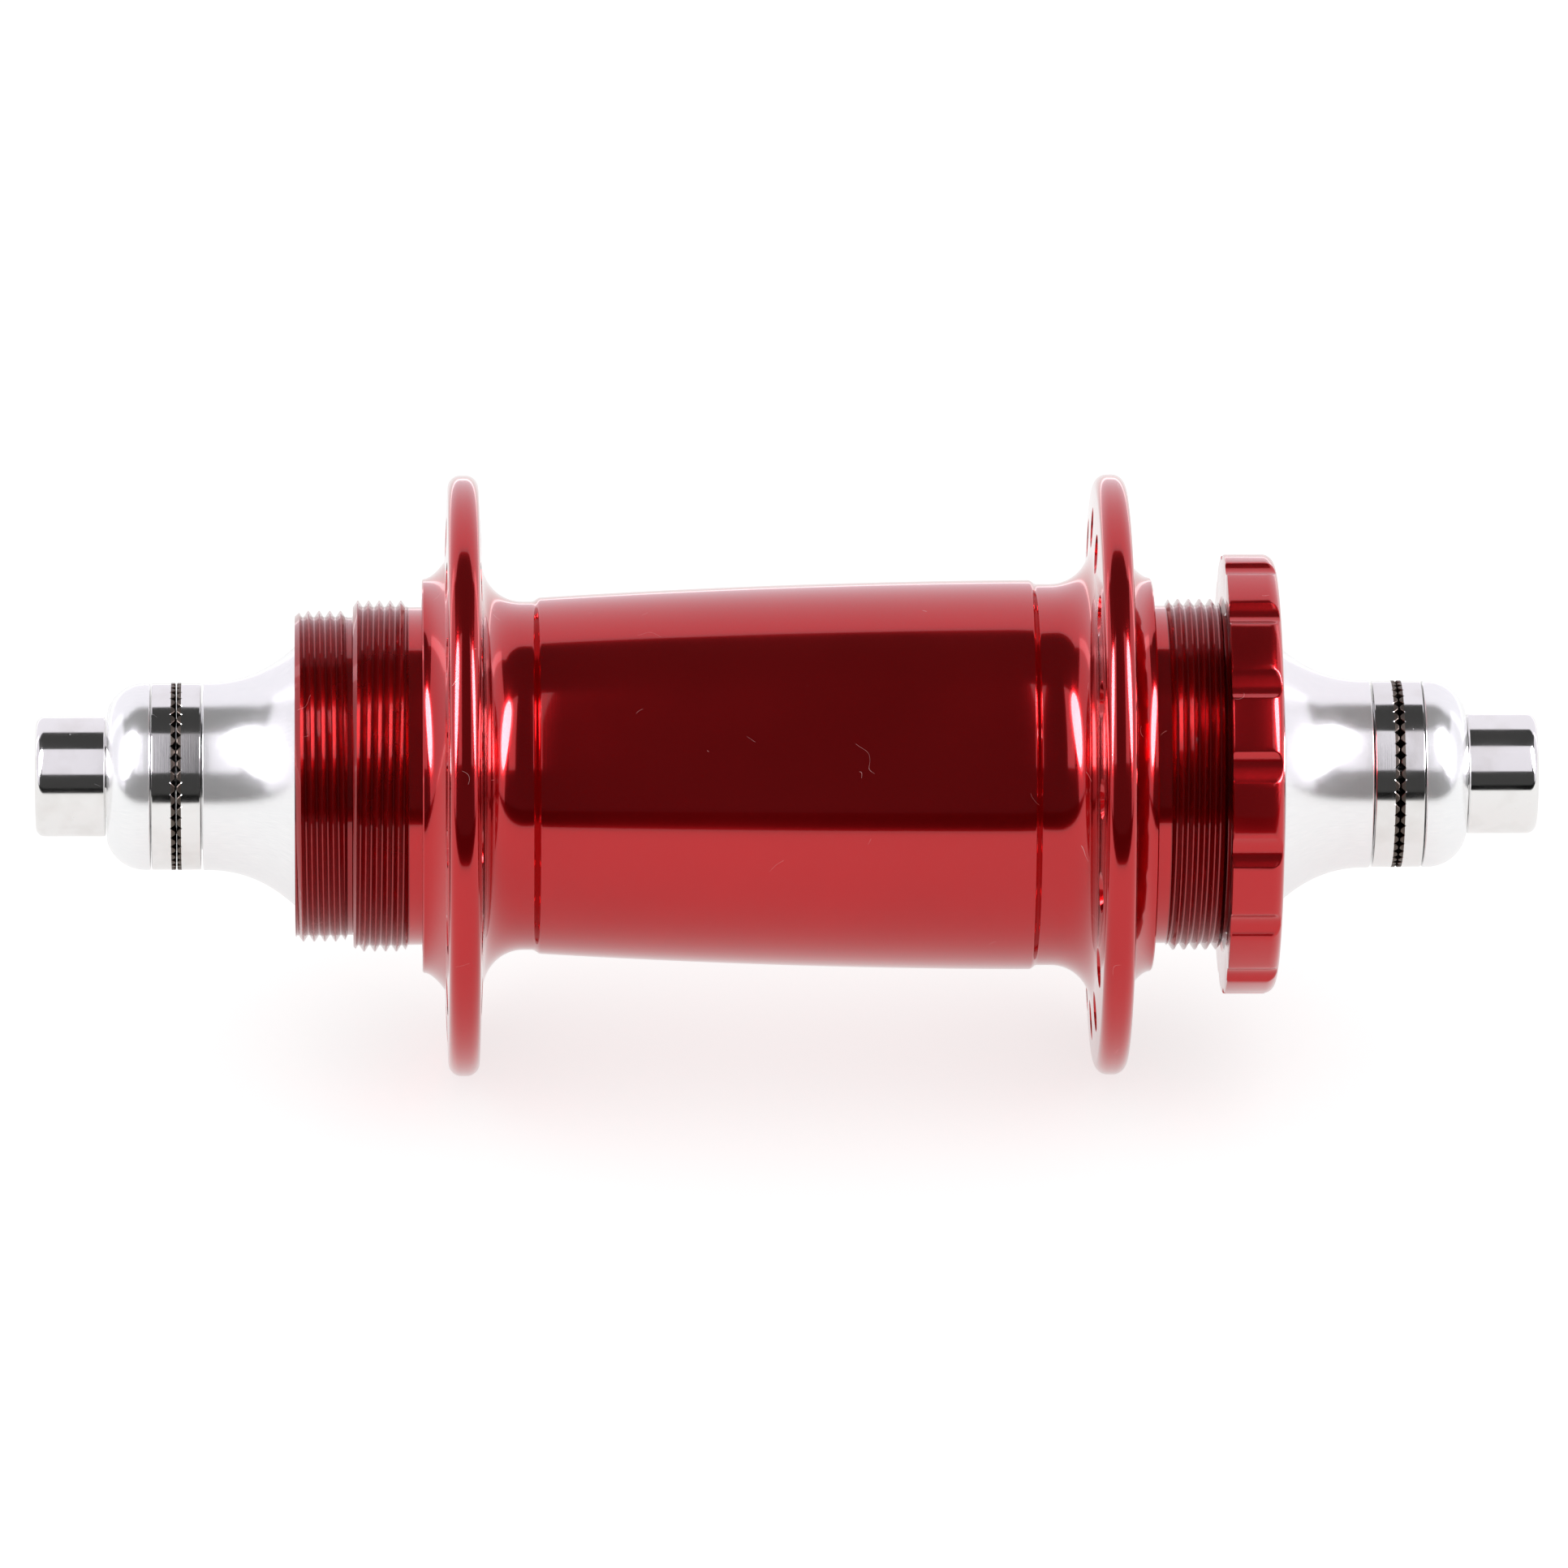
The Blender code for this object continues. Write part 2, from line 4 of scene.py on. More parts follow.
import bpy
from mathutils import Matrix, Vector


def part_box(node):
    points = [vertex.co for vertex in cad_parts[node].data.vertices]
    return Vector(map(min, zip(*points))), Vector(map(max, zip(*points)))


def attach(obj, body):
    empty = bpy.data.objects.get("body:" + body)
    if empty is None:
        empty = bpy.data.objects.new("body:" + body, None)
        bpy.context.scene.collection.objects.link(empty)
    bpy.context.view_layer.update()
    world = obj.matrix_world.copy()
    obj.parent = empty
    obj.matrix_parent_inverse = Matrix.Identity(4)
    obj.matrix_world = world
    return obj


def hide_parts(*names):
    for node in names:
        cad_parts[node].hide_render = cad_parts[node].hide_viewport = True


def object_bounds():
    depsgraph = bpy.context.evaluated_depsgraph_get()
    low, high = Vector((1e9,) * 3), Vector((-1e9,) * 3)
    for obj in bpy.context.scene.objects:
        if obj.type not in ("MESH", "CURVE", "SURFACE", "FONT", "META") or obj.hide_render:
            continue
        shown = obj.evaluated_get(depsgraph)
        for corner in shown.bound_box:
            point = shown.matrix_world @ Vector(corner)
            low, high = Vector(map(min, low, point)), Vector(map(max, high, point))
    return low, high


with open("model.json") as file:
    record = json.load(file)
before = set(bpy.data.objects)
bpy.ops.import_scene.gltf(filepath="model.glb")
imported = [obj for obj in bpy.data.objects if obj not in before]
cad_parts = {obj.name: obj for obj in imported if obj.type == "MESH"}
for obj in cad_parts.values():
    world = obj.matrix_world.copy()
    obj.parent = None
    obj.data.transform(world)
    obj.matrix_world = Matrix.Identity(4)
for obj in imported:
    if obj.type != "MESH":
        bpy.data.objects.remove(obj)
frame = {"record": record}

cadLow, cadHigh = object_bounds()
mounts = {mount["name"]: mount for mount in frame["record"]["mounts"]}
seatFace = mounts["right_sprocket_seat"]["pos_m"][1]  # where a sprocket's back rests
dropoutFace = abs(mounts["frame_dropouts"]["pos_m"][1])
mm = 0.001
fullTurn = 2 * math.pi
mergeDistance = 0.001 * mm
edgeMiddle = 0.3  # where the middle point of a small rounded edge stands, in edge widths
ends = (("left", -1), ("right", 1))
print("hub: frame loaded")


# tools for turning and cutting

def startClean():
    if bpy.context.object and bpy.context.object.mode != "OBJECT":
        bpy.ops.object.mode_set(mode="OBJECT")
    bpy.ops.object.select_all(action="DESELECT")


def pick(piece):
    startClean()
    piece.select_set(True)
    bpy.context.view_layer.objects.active = piece


def drawOutline(name, outline):
    # a plane shrunk to one point, then pulled along the outline; points are (axial, radial)
    startClean()
    bpy.ops.mesh.primitive_plane_add(size=mm, location=(0, 0, 0))
    piece = bpy.context.object
    piece.name = piece.data.name = name
    bpy.ops.object.mode_set(mode="EDIT")
    bpy.ops.mesh.select_all(action="SELECT")
    bpy.ops.mesh.merge(type="CENTER")
    bpy.ops.transform.translate(value=(outline[0][1], outline[0][0], 0))
    for (lastAxial, lastRadial), (axial, radial) in zip(outline, outline[1:]):
        move = (radial - lastRadial, axial - lastAxial, 0)
        bpy.ops.mesh.extrude_region_move(TRANSFORM_OT_translate={"value": move})
    bpy.ops.mesh.select_all(action="SELECT")
    bpy.ops.mesh.remove_doubles(threshold=mergeDistance)
    return piece


def mendNormals():
    bpy.ops.mesh.select_all(action="SELECT")
    bpy.ops.mesh.remove_doubles(threshold=mergeDistance)
    bpy.ops.mesh.normals_make_consistent(inside=False)
    bpy.ops.object.mode_set(mode="OBJECT")


def turnPiece(name, outline, steps, side=1, centre=(0, 0, 0)):
    # side -1 turns the same outline for the left end
    closed = [(side * axial, radial) for axial, radial in outline + outline[:1]]
    piece = drawOutline(name, closed)
    bpy.ops.mesh.spin(steps=steps, angle=fullTurn, center=centre, axis=(0, 1, 0))
    mendNormals()
    return piece


def helix(name, outline, turns, steps, rise, turnedOver):
    # a closed outline swept along a helix; a negative rise runs to the left
    piece = drawOutline(name, outline + outline[:1])
    bpy.ops.object.mode_set(mode="OBJECT")
    sweep = piece.modifiers.new("sweep", "SCREW")
    sweep.axis = "Y"
    sweep.iterations = turns
    sweep.steps = sweep.render_steps = steps
    sweep.screw_offset = rise
    bpy.ops.object.modifier_apply(modifier=sweep.name)
    bpy.ops.object.mode_set(mode="EDIT")
    bpy.ops.mesh.select_all(action="SELECT")
    bpy.ops.mesh.fill_holes(sides=len(outline))
    mendNormals()
    if turnedOver:  # gives the helix the other hand
        piece.scale.z = -1
        pick(piece)
        bpy.ops.object.transform_apply(scale=True)
        bpy.ops.object.mode_set(mode="EDIT")
        mendNormals()
    return piece


def joinPieces(pieces):
    pick(pieces[0])
    for piece in pieces:
        piece.select_set(True)
    bpy.ops.object.join()
    return bpy.context.object


def cutPiece(piece, cutter, operation="DIFFERENCE"):
    pick(piece)
    cut = piece.modifiers.new("cut", "BOOLEAN")
    cut.operation = operation
    cut.solver = "EXACT"
    cut.object = cutter
    bpy.ops.object.modifier_apply(modifier=cut.name)
    bpy.data.objects.remove(cutter)


def finishPiece(piece, material, body, nodes, sharp=28):
    pick(piece)
    bpy.ops.object.transform_apply(location=True, rotation=True, scale=True)
    bpy.ops.object.shade_smooth_by_angle(angle=math.radians(sharp))
    piece.data.materials.clear()
    piece.data.materials.append(material)
    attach(piece, body)
    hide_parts(*nodes)


def arcPoints(centre, radius, start, stop, steps):
    # degrees from the outward axis towards the rim
    points = []
    for i in range(steps + 1):
        angle = math.radians(start + (stop - start) * i / steps)
        points.append((centre[0] + radius * math.cos(angle), centre[1] + radius * math.sin(angle)))
    return points


def otherEnd(points):
    return [(-axial, radial) for axial, radial in reversed(points)]


# shader node groups

def newGroup(name, inputs, outputs):
    group = bpy.data.node_groups.new(name, "ShaderNodeTree")
    for label, value in inputs.items():
        socket = group.interface.new_socket(label, in_out="INPUT", socket_type="NodeSocketFloat")
        socket.default_value = value
    for label in outputs:
        group.interface.new_socket(label, in_out="OUTPUT", socket_type="NodeSocketFloat")
    return group, group.nodes.new("NodeGroupInput"), group.nodes.new("NodeGroupOutput")


def addNode(tree, kind, **settings):
    node = tree.nodes.new(kind)
    for name, value in settings.items():
        setattr(node, name, value)
    return node


def addMath(tree, operation, first, second=None, third=None):
    node = addNode(tree, "ShaderNodeMath", operation=operation)
    for socket, value in zip(node.inputs, (first, second, third)):
        if isinstance(value, (int, float)):
            socket.default_value = value
        elif value is not None:
            tree.links.new(value, socket)
    return node.outputs[0]


def addRange(tree, value, low, high, newLow=0.0, newHigh=1.0):
    node = addNode(tree, "ShaderNodeMapRange", clamp=True)
    tree.links.new(value, node.inputs["Value"])
    for socket, number in zip(node.inputs[1:5], (low, high, newLow, newHigh)):
        socket.default_value = number
    return node.outputs["Result"]


def addNoise(tree, vector, scale, detail=2.0, roughness=0.5):
    noise = addNode(tree, "ShaderNodeTexNoise")
    tree.links.new(vector, noise.inputs["Vector"])
    noise.inputs["Scale"].default_value = scale
    noise.inputs["Detail"].default_value = detail
    noise.inputs["Roughness"].default_value = roughness
    return noise.outputs["Fac"]


def buildLatheLines():
    # rings round the axle, broken up a little round the turn
    tree, given, made = newGroup("latheLines", {"Fineness": 9000.0, "Breakup": 60.0}, ["Height"])
    place = addNode(tree, "ShaderNodeTexCoord").outputs["Object"]
    stretch = addNode(tree, "ShaderNodeCombineXYZ")
    for socket, label in zip(stretch.inputs, ("Breakup", "Fineness", "Breakup")):
        tree.links.new(given.outputs[label], socket)
    scaled = addNode(tree, "ShaderNodeVectorMath", operation="MULTIPLY")
    tree.links.new(place, scaled.inputs[0])
    tree.links.new(stretch.outputs[0], scaled.inputs[1])
    lines = addNoise(tree, scaled.outputs[0], 1.0, 3.0, 0.6)
    tree.links.new(lines, made.inputs["Height"])
    return tree


def buildPolishStreaks():
    # short strokes along the axle, laid round the turn
    tree, given, made = newGroup("polishStreaks", {"Across": 150.0, "Along": 900.0}, ["Streak"])
    place = addNode(tree, "ShaderNodeTexCoord").outputs["Object"]
    split = addNode(tree, "ShaderNodeSeparateXYZ")
    tree.links.new(place, split.inputs[0])
    angle = addMath(tree, "ARCTAN2", split.outputs["Z"], split.outputs["X"])
    lay = addNode(tree, "ShaderNodeCombineXYZ")
    tree.links.new(addMath(tree, "MULTIPLY", angle, given.outputs["Across"]), lay.inputs["X"])
    along = addMath(tree, "MULTIPLY", split.outputs["Y"], given.outputs["Along"])
    tree.links.new(along, lay.inputs["Y"])
    streak = addNoise(tree, lay.outputs[0], 1.0, 3.0, 0.55)
    tree.links.new(streak, made.inputs["Streak"])
    return tree


hairline = {"scale": 210.0, "halfWidth": 0.0007, "patchScale": 330.0, "patchFrom": 0.75}


def buildSpecks():
    # a grain of dust in some of the cells, and hair-thin marks along the middle of a noise
    inputs = {"Spacing": 260.0, "Size": 0.03, "Kept": 0.3}
    tree, given, made = newGroup("dustSpecks", inputs, ["Dust", "Hairline"])
    place = addNode(tree, "ShaderNodeTexCoord").outputs["Object"]
    cells = addNode(tree, "ShaderNodeTexVoronoi", feature="F1")
    tree.links.new(place, cells.inputs["Vector"])
    tree.links.new(given.outputs["Spacing"], cells.inputs["Scale"])
    split = addNode(tree, "ShaderNodeSeparateColor")
    tree.links.new(cells.outputs["Color"], split.inputs[0])
    near = addMath(tree, "LESS_THAN", cells.outputs["Distance"], given.outputs["Size"])
    kept = addMath(tree, "LESS_THAN", split.outputs[0], given.outputs["Kept"])
    tree.links.new(addMath(tree, "MULTIPLY", near, kept), made.inputs["Dust"])
    drift = addNoise(tree, place, hairline["scale"], 1.0, 0.4)
    away = addMath(tree, "ABSOLUTE", addMath(tree, "SUBTRACT", drift, 0.5))
    thin = addMath(tree, "LESS_THAN", away, hairline["halfWidth"])
    patches = addNoise(tree, place, hairline["patchScale"], 0.0)
    patch = addMath(tree, "GREATER_THAN", patches, hairline["patchFrom"])
    tree.links.new(addMath(tree, "MULTIPLY", thin, patch), made.inputs["Hairline"])
    return tree


def buildPatchiness():
    # slow drift of colour and gloss over the surface
    tree, given, made = newGroup("patchiness", {"Scale": 60.0}, ["Drift"])
    place = addNode(tree, "ShaderNodeTexCoord").outputs["Object"]
    noise = addNode(tree, "ShaderNodeTexNoise")
    tree.links.new(place, noise.inputs["Vector"])
    tree.links.new(given.outputs["Scale"], noise.inputs["Scale"])
    noise.inputs["Detail"].default_value = 4.0
    tree.links.new(noise.outputs["Fac"], made.inputs["Drift"])
    return tree


evenDrift = (0.3, 0.7)  # the part of a slow noise that most of a surface lies in
latheLines = buildLatheLines()
polishStreaks = buildPolishStreaks()
dustSpecks = buildSpecks()
patchiness = buildPatchiness()
print("hub: shader groups built")


# sizes of the shell and its threads

thread = {
    "pitch": 25.4 * mm / 24,
    "depth": 0.6 * mm,
    "width": 0.88,  # width of the groove at the crest, in pitches
    "floor": 0.12,  # width of its floor, in pitches
    "clear": 0.05 * mm,  # how far a cutter stands out of the crest
    "steps": 72,
}

shell = {
    "steps": 240,
    "end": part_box("hub_shell")[1][1],
    "rimRadius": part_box("hub_shell")[1][2],
    "flangeMiddle": 31.84 * mm,
    "rimWidth": 3.1 * mm,
    "rootWidth": 3.7 * mm,
    "corner": 1.3 * mm,
    "spokeCircle": 24.5 * mm,
    "spokeHole": 1.25 * mm,
    "countersink": 1.95 * mm,
    "holeSteps": 24,
    "spokes": 16,
    "leftBarrel": 17.57 * mm,
    "rightBarrel": 19.2 * mm,
    "crown": 0.35 * mm,
    "step": 0.4 * mm,
    "leftStep": (24.24 * mm, 25.15 * mm),
    "rightStep": (23.84 * mm, 24.63 * mm),
    "filletLength": 4.0 * mm,
    "filletHeight": 4.1 * mm,
    "seatRadius": 19.4 * mm,
    "flare": 1.7 * mm,
    "edge": 0.12 * mm,
    "undercut": 0.35 * mm,
    "break": 0.1 * mm,  # softening of a corner in the turning
    "sprocketThread": (37.3 * mm, 42.7 * mm),
    "sprocketCrest": 17.3 * mm,
    "sprocketRunIn": 0.6 * mm,  # how far inboard of the thread its groove is begun
    "lockringThread": (43.25 * mm, 48.4 * mm),
    "lockringCrest": 16.3 * mm,
    "lockringRunIn": 0.2 * mm,
    "bearingSeat": 14.0 * mm,
    "bearingStop": 12.4 * mm,
    "stopFrom": 36.5 * mm,
    "bearingFrom": 39.5 * mm,
    "bore": 13.4 * mm,
    "mouth": 0.35 * mm,  # chamfer at the mouth of a bearing's seat
    "flareCurve": 1.7,
    "seatLip": 0.3 * mm,
    "grooveLip": 0.25 * mm,
    "sprocketChamfers": (0.6, 0.7, 0.8),  # at the start, along the end and down it, in thread depths
    "lockringChamfers": (0.5, 1.0, 0.9),
    "points": {"step": 8, "fillet": 16, "corner": 10, "flare": 10, "barrel": 24},
    "holePhases": {1: 0.25, -1: 0.75},  # where a flange's first hole stands, in hole spacings
}


# materials

def placeGroup(tree, group, **values):
    node = addNode(tree, "ShaderNodeGroup", node_tree=group)
    for label, value in values.items():
        node.inputs[label].default_value = value
    return node


def addMix(tree, share, first, second):
    mix = addNode(tree, "ShaderNodeMix", data_type="RGBA")
    tree.links.new(share, mix.inputs["Factor"])
    for socket, value in ((mix.inputs[6], first), (mix.inputs[7], second)):
        if isinstance(value, tuple):
            socket.default_value = (*value, 1)
        else:
            tree.links.new(value, socket)
    return mix.outputs[2]


def addBump(tree, height, distance, strength=1.0):
    bump = addNode(tree, "ShaderNodeBump")
    tree.links.new(height, bump.inputs["Height"])
    bump.inputs["Distance"].default_value = distance
    bump.inputs["Strength"].default_value = strength
    return bump.outputs["Normal"]


def newMaterial(name, **sockets):
    material = bpy.data.materials.new(name)
    material.use_nodes = True
    shader = material.node_tree.nodes["Principled BSDF"]
    for label, value in sockets.items():
        shader.inputs[label.replace("_", " ")].default_value = value
    return material, material.node_tree, shader


def makeRedAnodised(name, gloss):
    look = {
        "deep": (0.46, 0.0035, 0.0065),
        "light": (0.54, 0.0050, 0.0090),
        "dust": (0.80, 0.66, 0.64),
        "metal": 0.86,
        "gloss": gloss,  # roughness where the dye is even, and where it drifts
        "threadFrom": seatFace + 1.3 * mm,
        "threadDull": 0.12,
        # painted shade: a darker red for the threaded end, dimming its highlights
        "threadPaintedShade": (0.30, 0.0020, 0.0036),
        "ridge": 0.0022 * mm,
        "hairline": 0.5,  # strength of a hairline beside a grain of dust
        "dustDull": 0.5,
    }
    material, tree, shader = newMaterial(name, Coat_Weight=0.9, Coat_Roughness=0.05, Coat_IOR=1.5)
    drift = placeGroup(tree, patchiness, Scale=70.0).outputs["Drift"]
    lines = placeGroup(tree, latheLines, Fineness=11000.0, Breakup=50.0).outputs["Height"]
    specks = placeGroup(tree, dustSpecks, Spacing=230.0, Size=0.018, Kept=0.22)
    split = addNode(tree, "ShaderNodeSeparateXYZ")
    tree.links.new(addNode(tree, "ShaderNodeTexCoord").outputs["Object"], split.inputs[0])
    acrossSquared = addMath(tree, "POWER", addMath(tree, "ABSOLUTE", split.outputs["X"]), 2.0)
    upSquared = addMath(tree, "POWER", addMath(tree, "ABSOLUTE", split.outputs["Z"]), 2.0)
    radius = addMath(tree, "SQRT", addMath(tree, "ADD", acrossSquared, upSquared))
    slim = addMath(tree, "LESS_THAN", radius, shell["sprocketCrest"] + 0.1 * mm)
    along = addMath(tree, "ABSOLUTE", split.outputs["Y"])
    threaded = addMath(tree, "MULTIPLY", slim, addMath(tree, "GREATER_THAN", along, look["threadFrom"]))
    dyeAndThreadShade = addMix(tree, drift, look["deep"], look["light"])
    # painted shade: past the seat, everything within the sprocket thread's crest gets the darker red
    dyeAndThreadShade = addMix(tree, threaded, dyeAndThreadShade, look["threadPaintedShade"])
    faint = addMath(tree, "MULTIPLY", specks.outputs["Hairline"], look["hairline"])
    marks = addMath(tree, "MAXIMUM", specks.outputs["Dust"], faint)
    tree.links.new(addMix(tree, marks, dyeAndThreadShade, look["dust"]), shader.inputs["Base Color"])
    tree.links.new(addRange(tree, marks, 0, 1, look["metal"], 0.0), shader.inputs["Metallic"])
    dusty = addMath(tree, "MULTIPLY", marks, look["dustDull"])
    dull = addMath(tree, "MULTIPLY_ADD", threaded, look["threadDull"], dusty)
    even = addRange(tree, drift, *evenDrift, *look["gloss"])
    tree.links.new(addMath(tree, "ADD", even, dull), shader.inputs["Roughness"])
    tree.links.new(addBump(tree, lines, look["ridge"]), shader.inputs["Normal"])
    return material


def makeSatinAluminium():
    look = {
        "grey": (0.88, 0.885, 0.895),
        "bright": (0.95, 0.95, 0.95),
        "gloss": (0.16, 0.22),
        "ridge": 0.003 * mm,
        "rubbed": (0.35, 0.68),  # the part of the streaks that turns grey to bright
        "streakHeight": 0.7,
        "lineHeight": 0.5,
    }
    material, tree, shader = newMaterial("satinAluminium", Metallic=0.75)
    streak = placeGroup(tree, polishStreaks, Across=190.0, Along=700.0).outputs["Streak"]
    lines = placeGroup(tree, latheLines, Fineness=7000.0, Breakup=90.0).outputs["Height"]
    worn = addRange(tree, streak, *look["rubbed"])
    tree.links.new(addMix(tree, worn, look["grey"], look["bright"]), shader.inputs["Base Color"])
    tree.links.new(addRange(tree, streak, *evenDrift, *look["gloss"]), shader.inputs["Roughness"])
    fine = addMath(tree, "MULTIPLY", lines, look["lineHeight"])
    height = addMath(tree, "MULTIPLY_ADD", streak, look["streakHeight"], fine)
    tree.links.new(addBump(tree, height, look["ridge"]), shader.inputs["Normal"])
    return material


def makePolishedSteel():
    look = {
        "steel": (0.87, 0.86, 0.85),
        "tarnish": (0.78, 0.76, 0.74),
        "teethShade": (0.115, 0.095, 0.08),  # painted shade: the toothed faces where the two rings meet, coloured dark and made rougher
        "teethShadeFrom": dropoutFace - 0.42 * mm,
        "teethShadeTo": dropoutFace + 0.57 * mm,
        "gloss": (0.08, 0.14),
        "ridge": 0.0012 * mm,
        "rubbed": (0.45, 0.75),  # the part of the drift that turns steel to tarnish
        "dull": 0.3,
    }
    material, tree, shader = newMaterial("polishedSteel", Metallic=1.0)
    drift = placeGroup(tree, patchiness, Scale=240.0).outputs["Drift"]
    lines = placeGroup(tree, latheLines, Fineness=14000.0, Breakup=160.0).outputs["Height"]
    specks = placeGroup(tree, dustSpecks, Spacing=900.0, Size=0.05, Kept=0.25)
    rubbed = addRange(tree, drift, *look["rubbed"])
    split = addNode(tree, "ShaderNodeSeparateXYZ")
    tree.links.new(addNode(tree, "ShaderNodeTexCoord").outputs["Object"], split.inputs[0])
    along = addMath(tree, "ABSOLUTE", split.outputs["Y"])
    # painted shade: a dark band over the toothed faces between the rings, also made rougher
    teethShade = addMath(tree, "MULTIPLY", addMath(tree, "GREATER_THAN", along, look["teethShadeFrom"]),
                   addMath(tree, "LESS_THAN", along, look["teethShadeTo"]))
    steel = addMix(tree, rubbed, look["steel"], look["tarnish"])
    tree.links.new(addMix(tree, teethShade, steel, look["teethShade"]), shader.inputs["Base Color"])
    gloss = addRange(tree, drift, *evenDrift, *look["gloss"])
    marks = addMath(tree, "MAXIMUM", specks.outputs["Dust"], specks.outputs["Hairline"])
    dull = addMath(tree, "MULTIPLY", addMath(tree, "MAXIMUM", marks, teethShade), look["dull"])
    tree.links.new(addMath(tree, "ADD", gloss, dull), shader.inputs["Roughness"])
    tree.links.new(addBump(tree, lines, look["ridge"]), shader.inputs["Normal"])
    return material


def makeBearingSteel():
    look = {
        "bright": (0.62, 0.61, 0.60),
        "shade": (0.50, 0.49, 0.49),
        "gloss": (0.12, 0.24),
        "ridge": 0.002 * mm,
    }
    material, tree, shader = newMaterial("bearingSteel", Metallic=1.0)
    drift = placeGroup(tree, patchiness, Scale=180.0).outputs["Drift"]
    lines = placeGroup(tree, latheLines, Fineness=9000.0, Breakup=120.0).outputs["Height"]
    tree.links.new(addMix(tree, drift, look["bright"], look["shade"]), shader.inputs["Base Color"])
    tree.links.new(addRange(tree, lines, *evenDrift, *look["gloss"]), shader.inputs["Roughness"])
    tree.links.new(addBump(tree, lines, look["ridge"]), shader.inputs["Normal"])
    return material


def makeSealRubber():
    look = {
        "black": (0.012, 0.012, 0.013),
        "bloom": (0.035, 0.034, 0.033),
        "gloss": (0.45, 0.62),
        "grain": 0.01 * mm,
    }
    material, tree, shader = newMaterial("sealRubber", Metallic=0.0)
    drift = placeGroup(tree, patchiness, Scale=900.0).outputs["Drift"]
    tree.links.new(addMix(tree, drift, look["black"], look["bloom"]), shader.inputs["Base Color"])
    tree.links.new(addRange(tree, drift, *evenDrift, *look["gloss"]), shader.inputs["Roughness"])
    tree.links.new(addBump(tree, drift, look["grain"]), shader.inputs["Normal"])
    return material


redAnodised = makeRedAnodised("redAnodised", (0.12, 0.16))
redBlasted = makeRedAnodised("redBlasted", (0.20, 0.26))
satinAluminium = makeSatinAluminium()
polishedSteel = makePolishedSteel()
bearingSteel = makeBearingSteel()
sealRubber = makeSealRubber()
print("hub: materials made")


# hub shell

def flangeInside(barrelRadius, step):
    # step down from the barrel, neck, fillet and the flange's inner face up to its rim
    s, count = shell, shell["points"]
    points = []
    for i in range(count["step"] + 1):
        share = i / count["step"]
        points.append((step[0] + (step[1] - step[0]) * share,
                       barrelRadius - s["step"] * (1 - math.cos(math.pi * share)) / 2))
    neck = barrelRadius - s["step"]
    face = s["flangeMiddle"] - s["rootWidth"] / 2
    for i in range(count["fillet"] + 1):
        angle = math.radians(90 * i / count["fillet"])
        points.append((face - s["filletLength"] * (1 - math.sin(angle)),
                       neck + s["filletHeight"] * (1 - math.cos(angle))))
    corner = (s["flangeMiddle"] - s["rimWidth"] / 2 + s["corner"], s["rimRadius"] - s["corner"])
    return points + arcPoints(corner, s["corner"], 180, 90, count["corner"])


def flangeOutside():
    # outer half of the rim, the flange's outer face and the hollow flare down to the seat
    s, count = shell, shell["points"]
    corner = (s["flangeMiddle"] + s["rimWidth"] / 2 - s["corner"], s["rimRadius"] - s["corner"])
    points = arcPoints(corner, s["corner"], 90, 0, count["corner"])
    root = s["flangeMiddle"] + s["rootWidth"] / 2
    for i in range(count["flare"] + 1):
        share = i / count["flare"]
        points.append((root + (seatFace - s["edge"] - root) * share,
                       s["seatRadius"] + s["flare"] * (1 - share) ** s["flareCurve"]))
    return points + [(seatFace, s["seatRadius"] - s["edge"])]


def threadedEnd():
    # seat face, run-out groove, both threads' blanks and the end face
    s, t = shell, thread
    first, last = s["sprocketThread"]
    root = s["sprocketCrest"] - t["depth"] - t["clear"]
    start, end = s["lockringThread"]
    smallRoot = s["lockringCrest"] - t["depth"] - t["clear"]
    deep, corner = s["undercut"], s["break"]
    sprocket = [share * t["depth"] for share in s["sprocketChamfers"]]
    ring = [share * t["depth"] for share in s["lockringChamfers"]]
    return [
        (seatFace, s["sprocketCrest"] + s["seatLip"]),
        (seatFace - deep, s["sprocketCrest"] + s["grooveLip"]),
        (seatFace - deep, root + corner),
        (seatFace - deep + corner, root),
        (first, root),
        (first + sprocket[0], s["sprocketCrest"]),
        (last - sprocket[1], s["sprocketCrest"]),
        (last, s["sprocketCrest"] - sprocket[2]),
        (last, smallRoot + corner),
        (last + corner, smallRoot),
        (start, smallRoot),
        (start + ring[0], s["lockringCrest"]),
        (end - ring[1], s["lockringCrest"]),
        (end, s["lockringCrest"] - ring[2]),
    ]


def shellBore():
    s = shell
    return [
        (s["stopFrom"] - s["bore"] + s["bearingStop"], s["bore"]),
        (s["stopFrom"], s["bearingStop"]),
        (s["bearingFrom"], s["bearingStop"]),
        (s["bearingFrom"], s["bearingSeat"]),
        (s["end"] - s["mouth"], s["bearingSeat"]),
        (s["end"], s["bearingSeat"] + s["mouth"]),
    ]


def barrelPoints():
    s = shell
    first, last = -s["leftStep"][0], s["rightStep"][0]
    points = []
    for i in range(1, s["points"]["barrel"]):
        share = i / s["points"]["barrel"]
        bulge = s["crown"] * 4 * share * (1 - share)
        straight = s["leftBarrel"] + (s["rightBarrel"] - s["leftBarrel"]) * share
        points.append((first + (last - first) * share, straight + bulge))
    return points


def threadGroove(name, crest, start, end, side, hand):
    # one V groove, swept from the run-out into the air past the thread's end
    t = thread
    turns = math.ceil((end - start) / t["pitch"]) + 1
    top = crest + t["clear"]
    spread = (t["width"] - t["floor"]) / 2 * (1 + t["clear"] / t["depth"]) + t["floor"] / 2
    outline = [
        (-spread * t["pitch"], top),
        (-t["floor"] / 2 * t["pitch"], crest - t["depth"]),
        (t["floor"] / 2 * t["pitch"], crest - t["depth"]),
        (spread * t["pitch"], top),
    ]
    outline = [(side * start + axial, radial) for axial, radial in outline]
    return helix(name, outline, turns, t["steps"], side * t["pitch"], hand * side > 0)


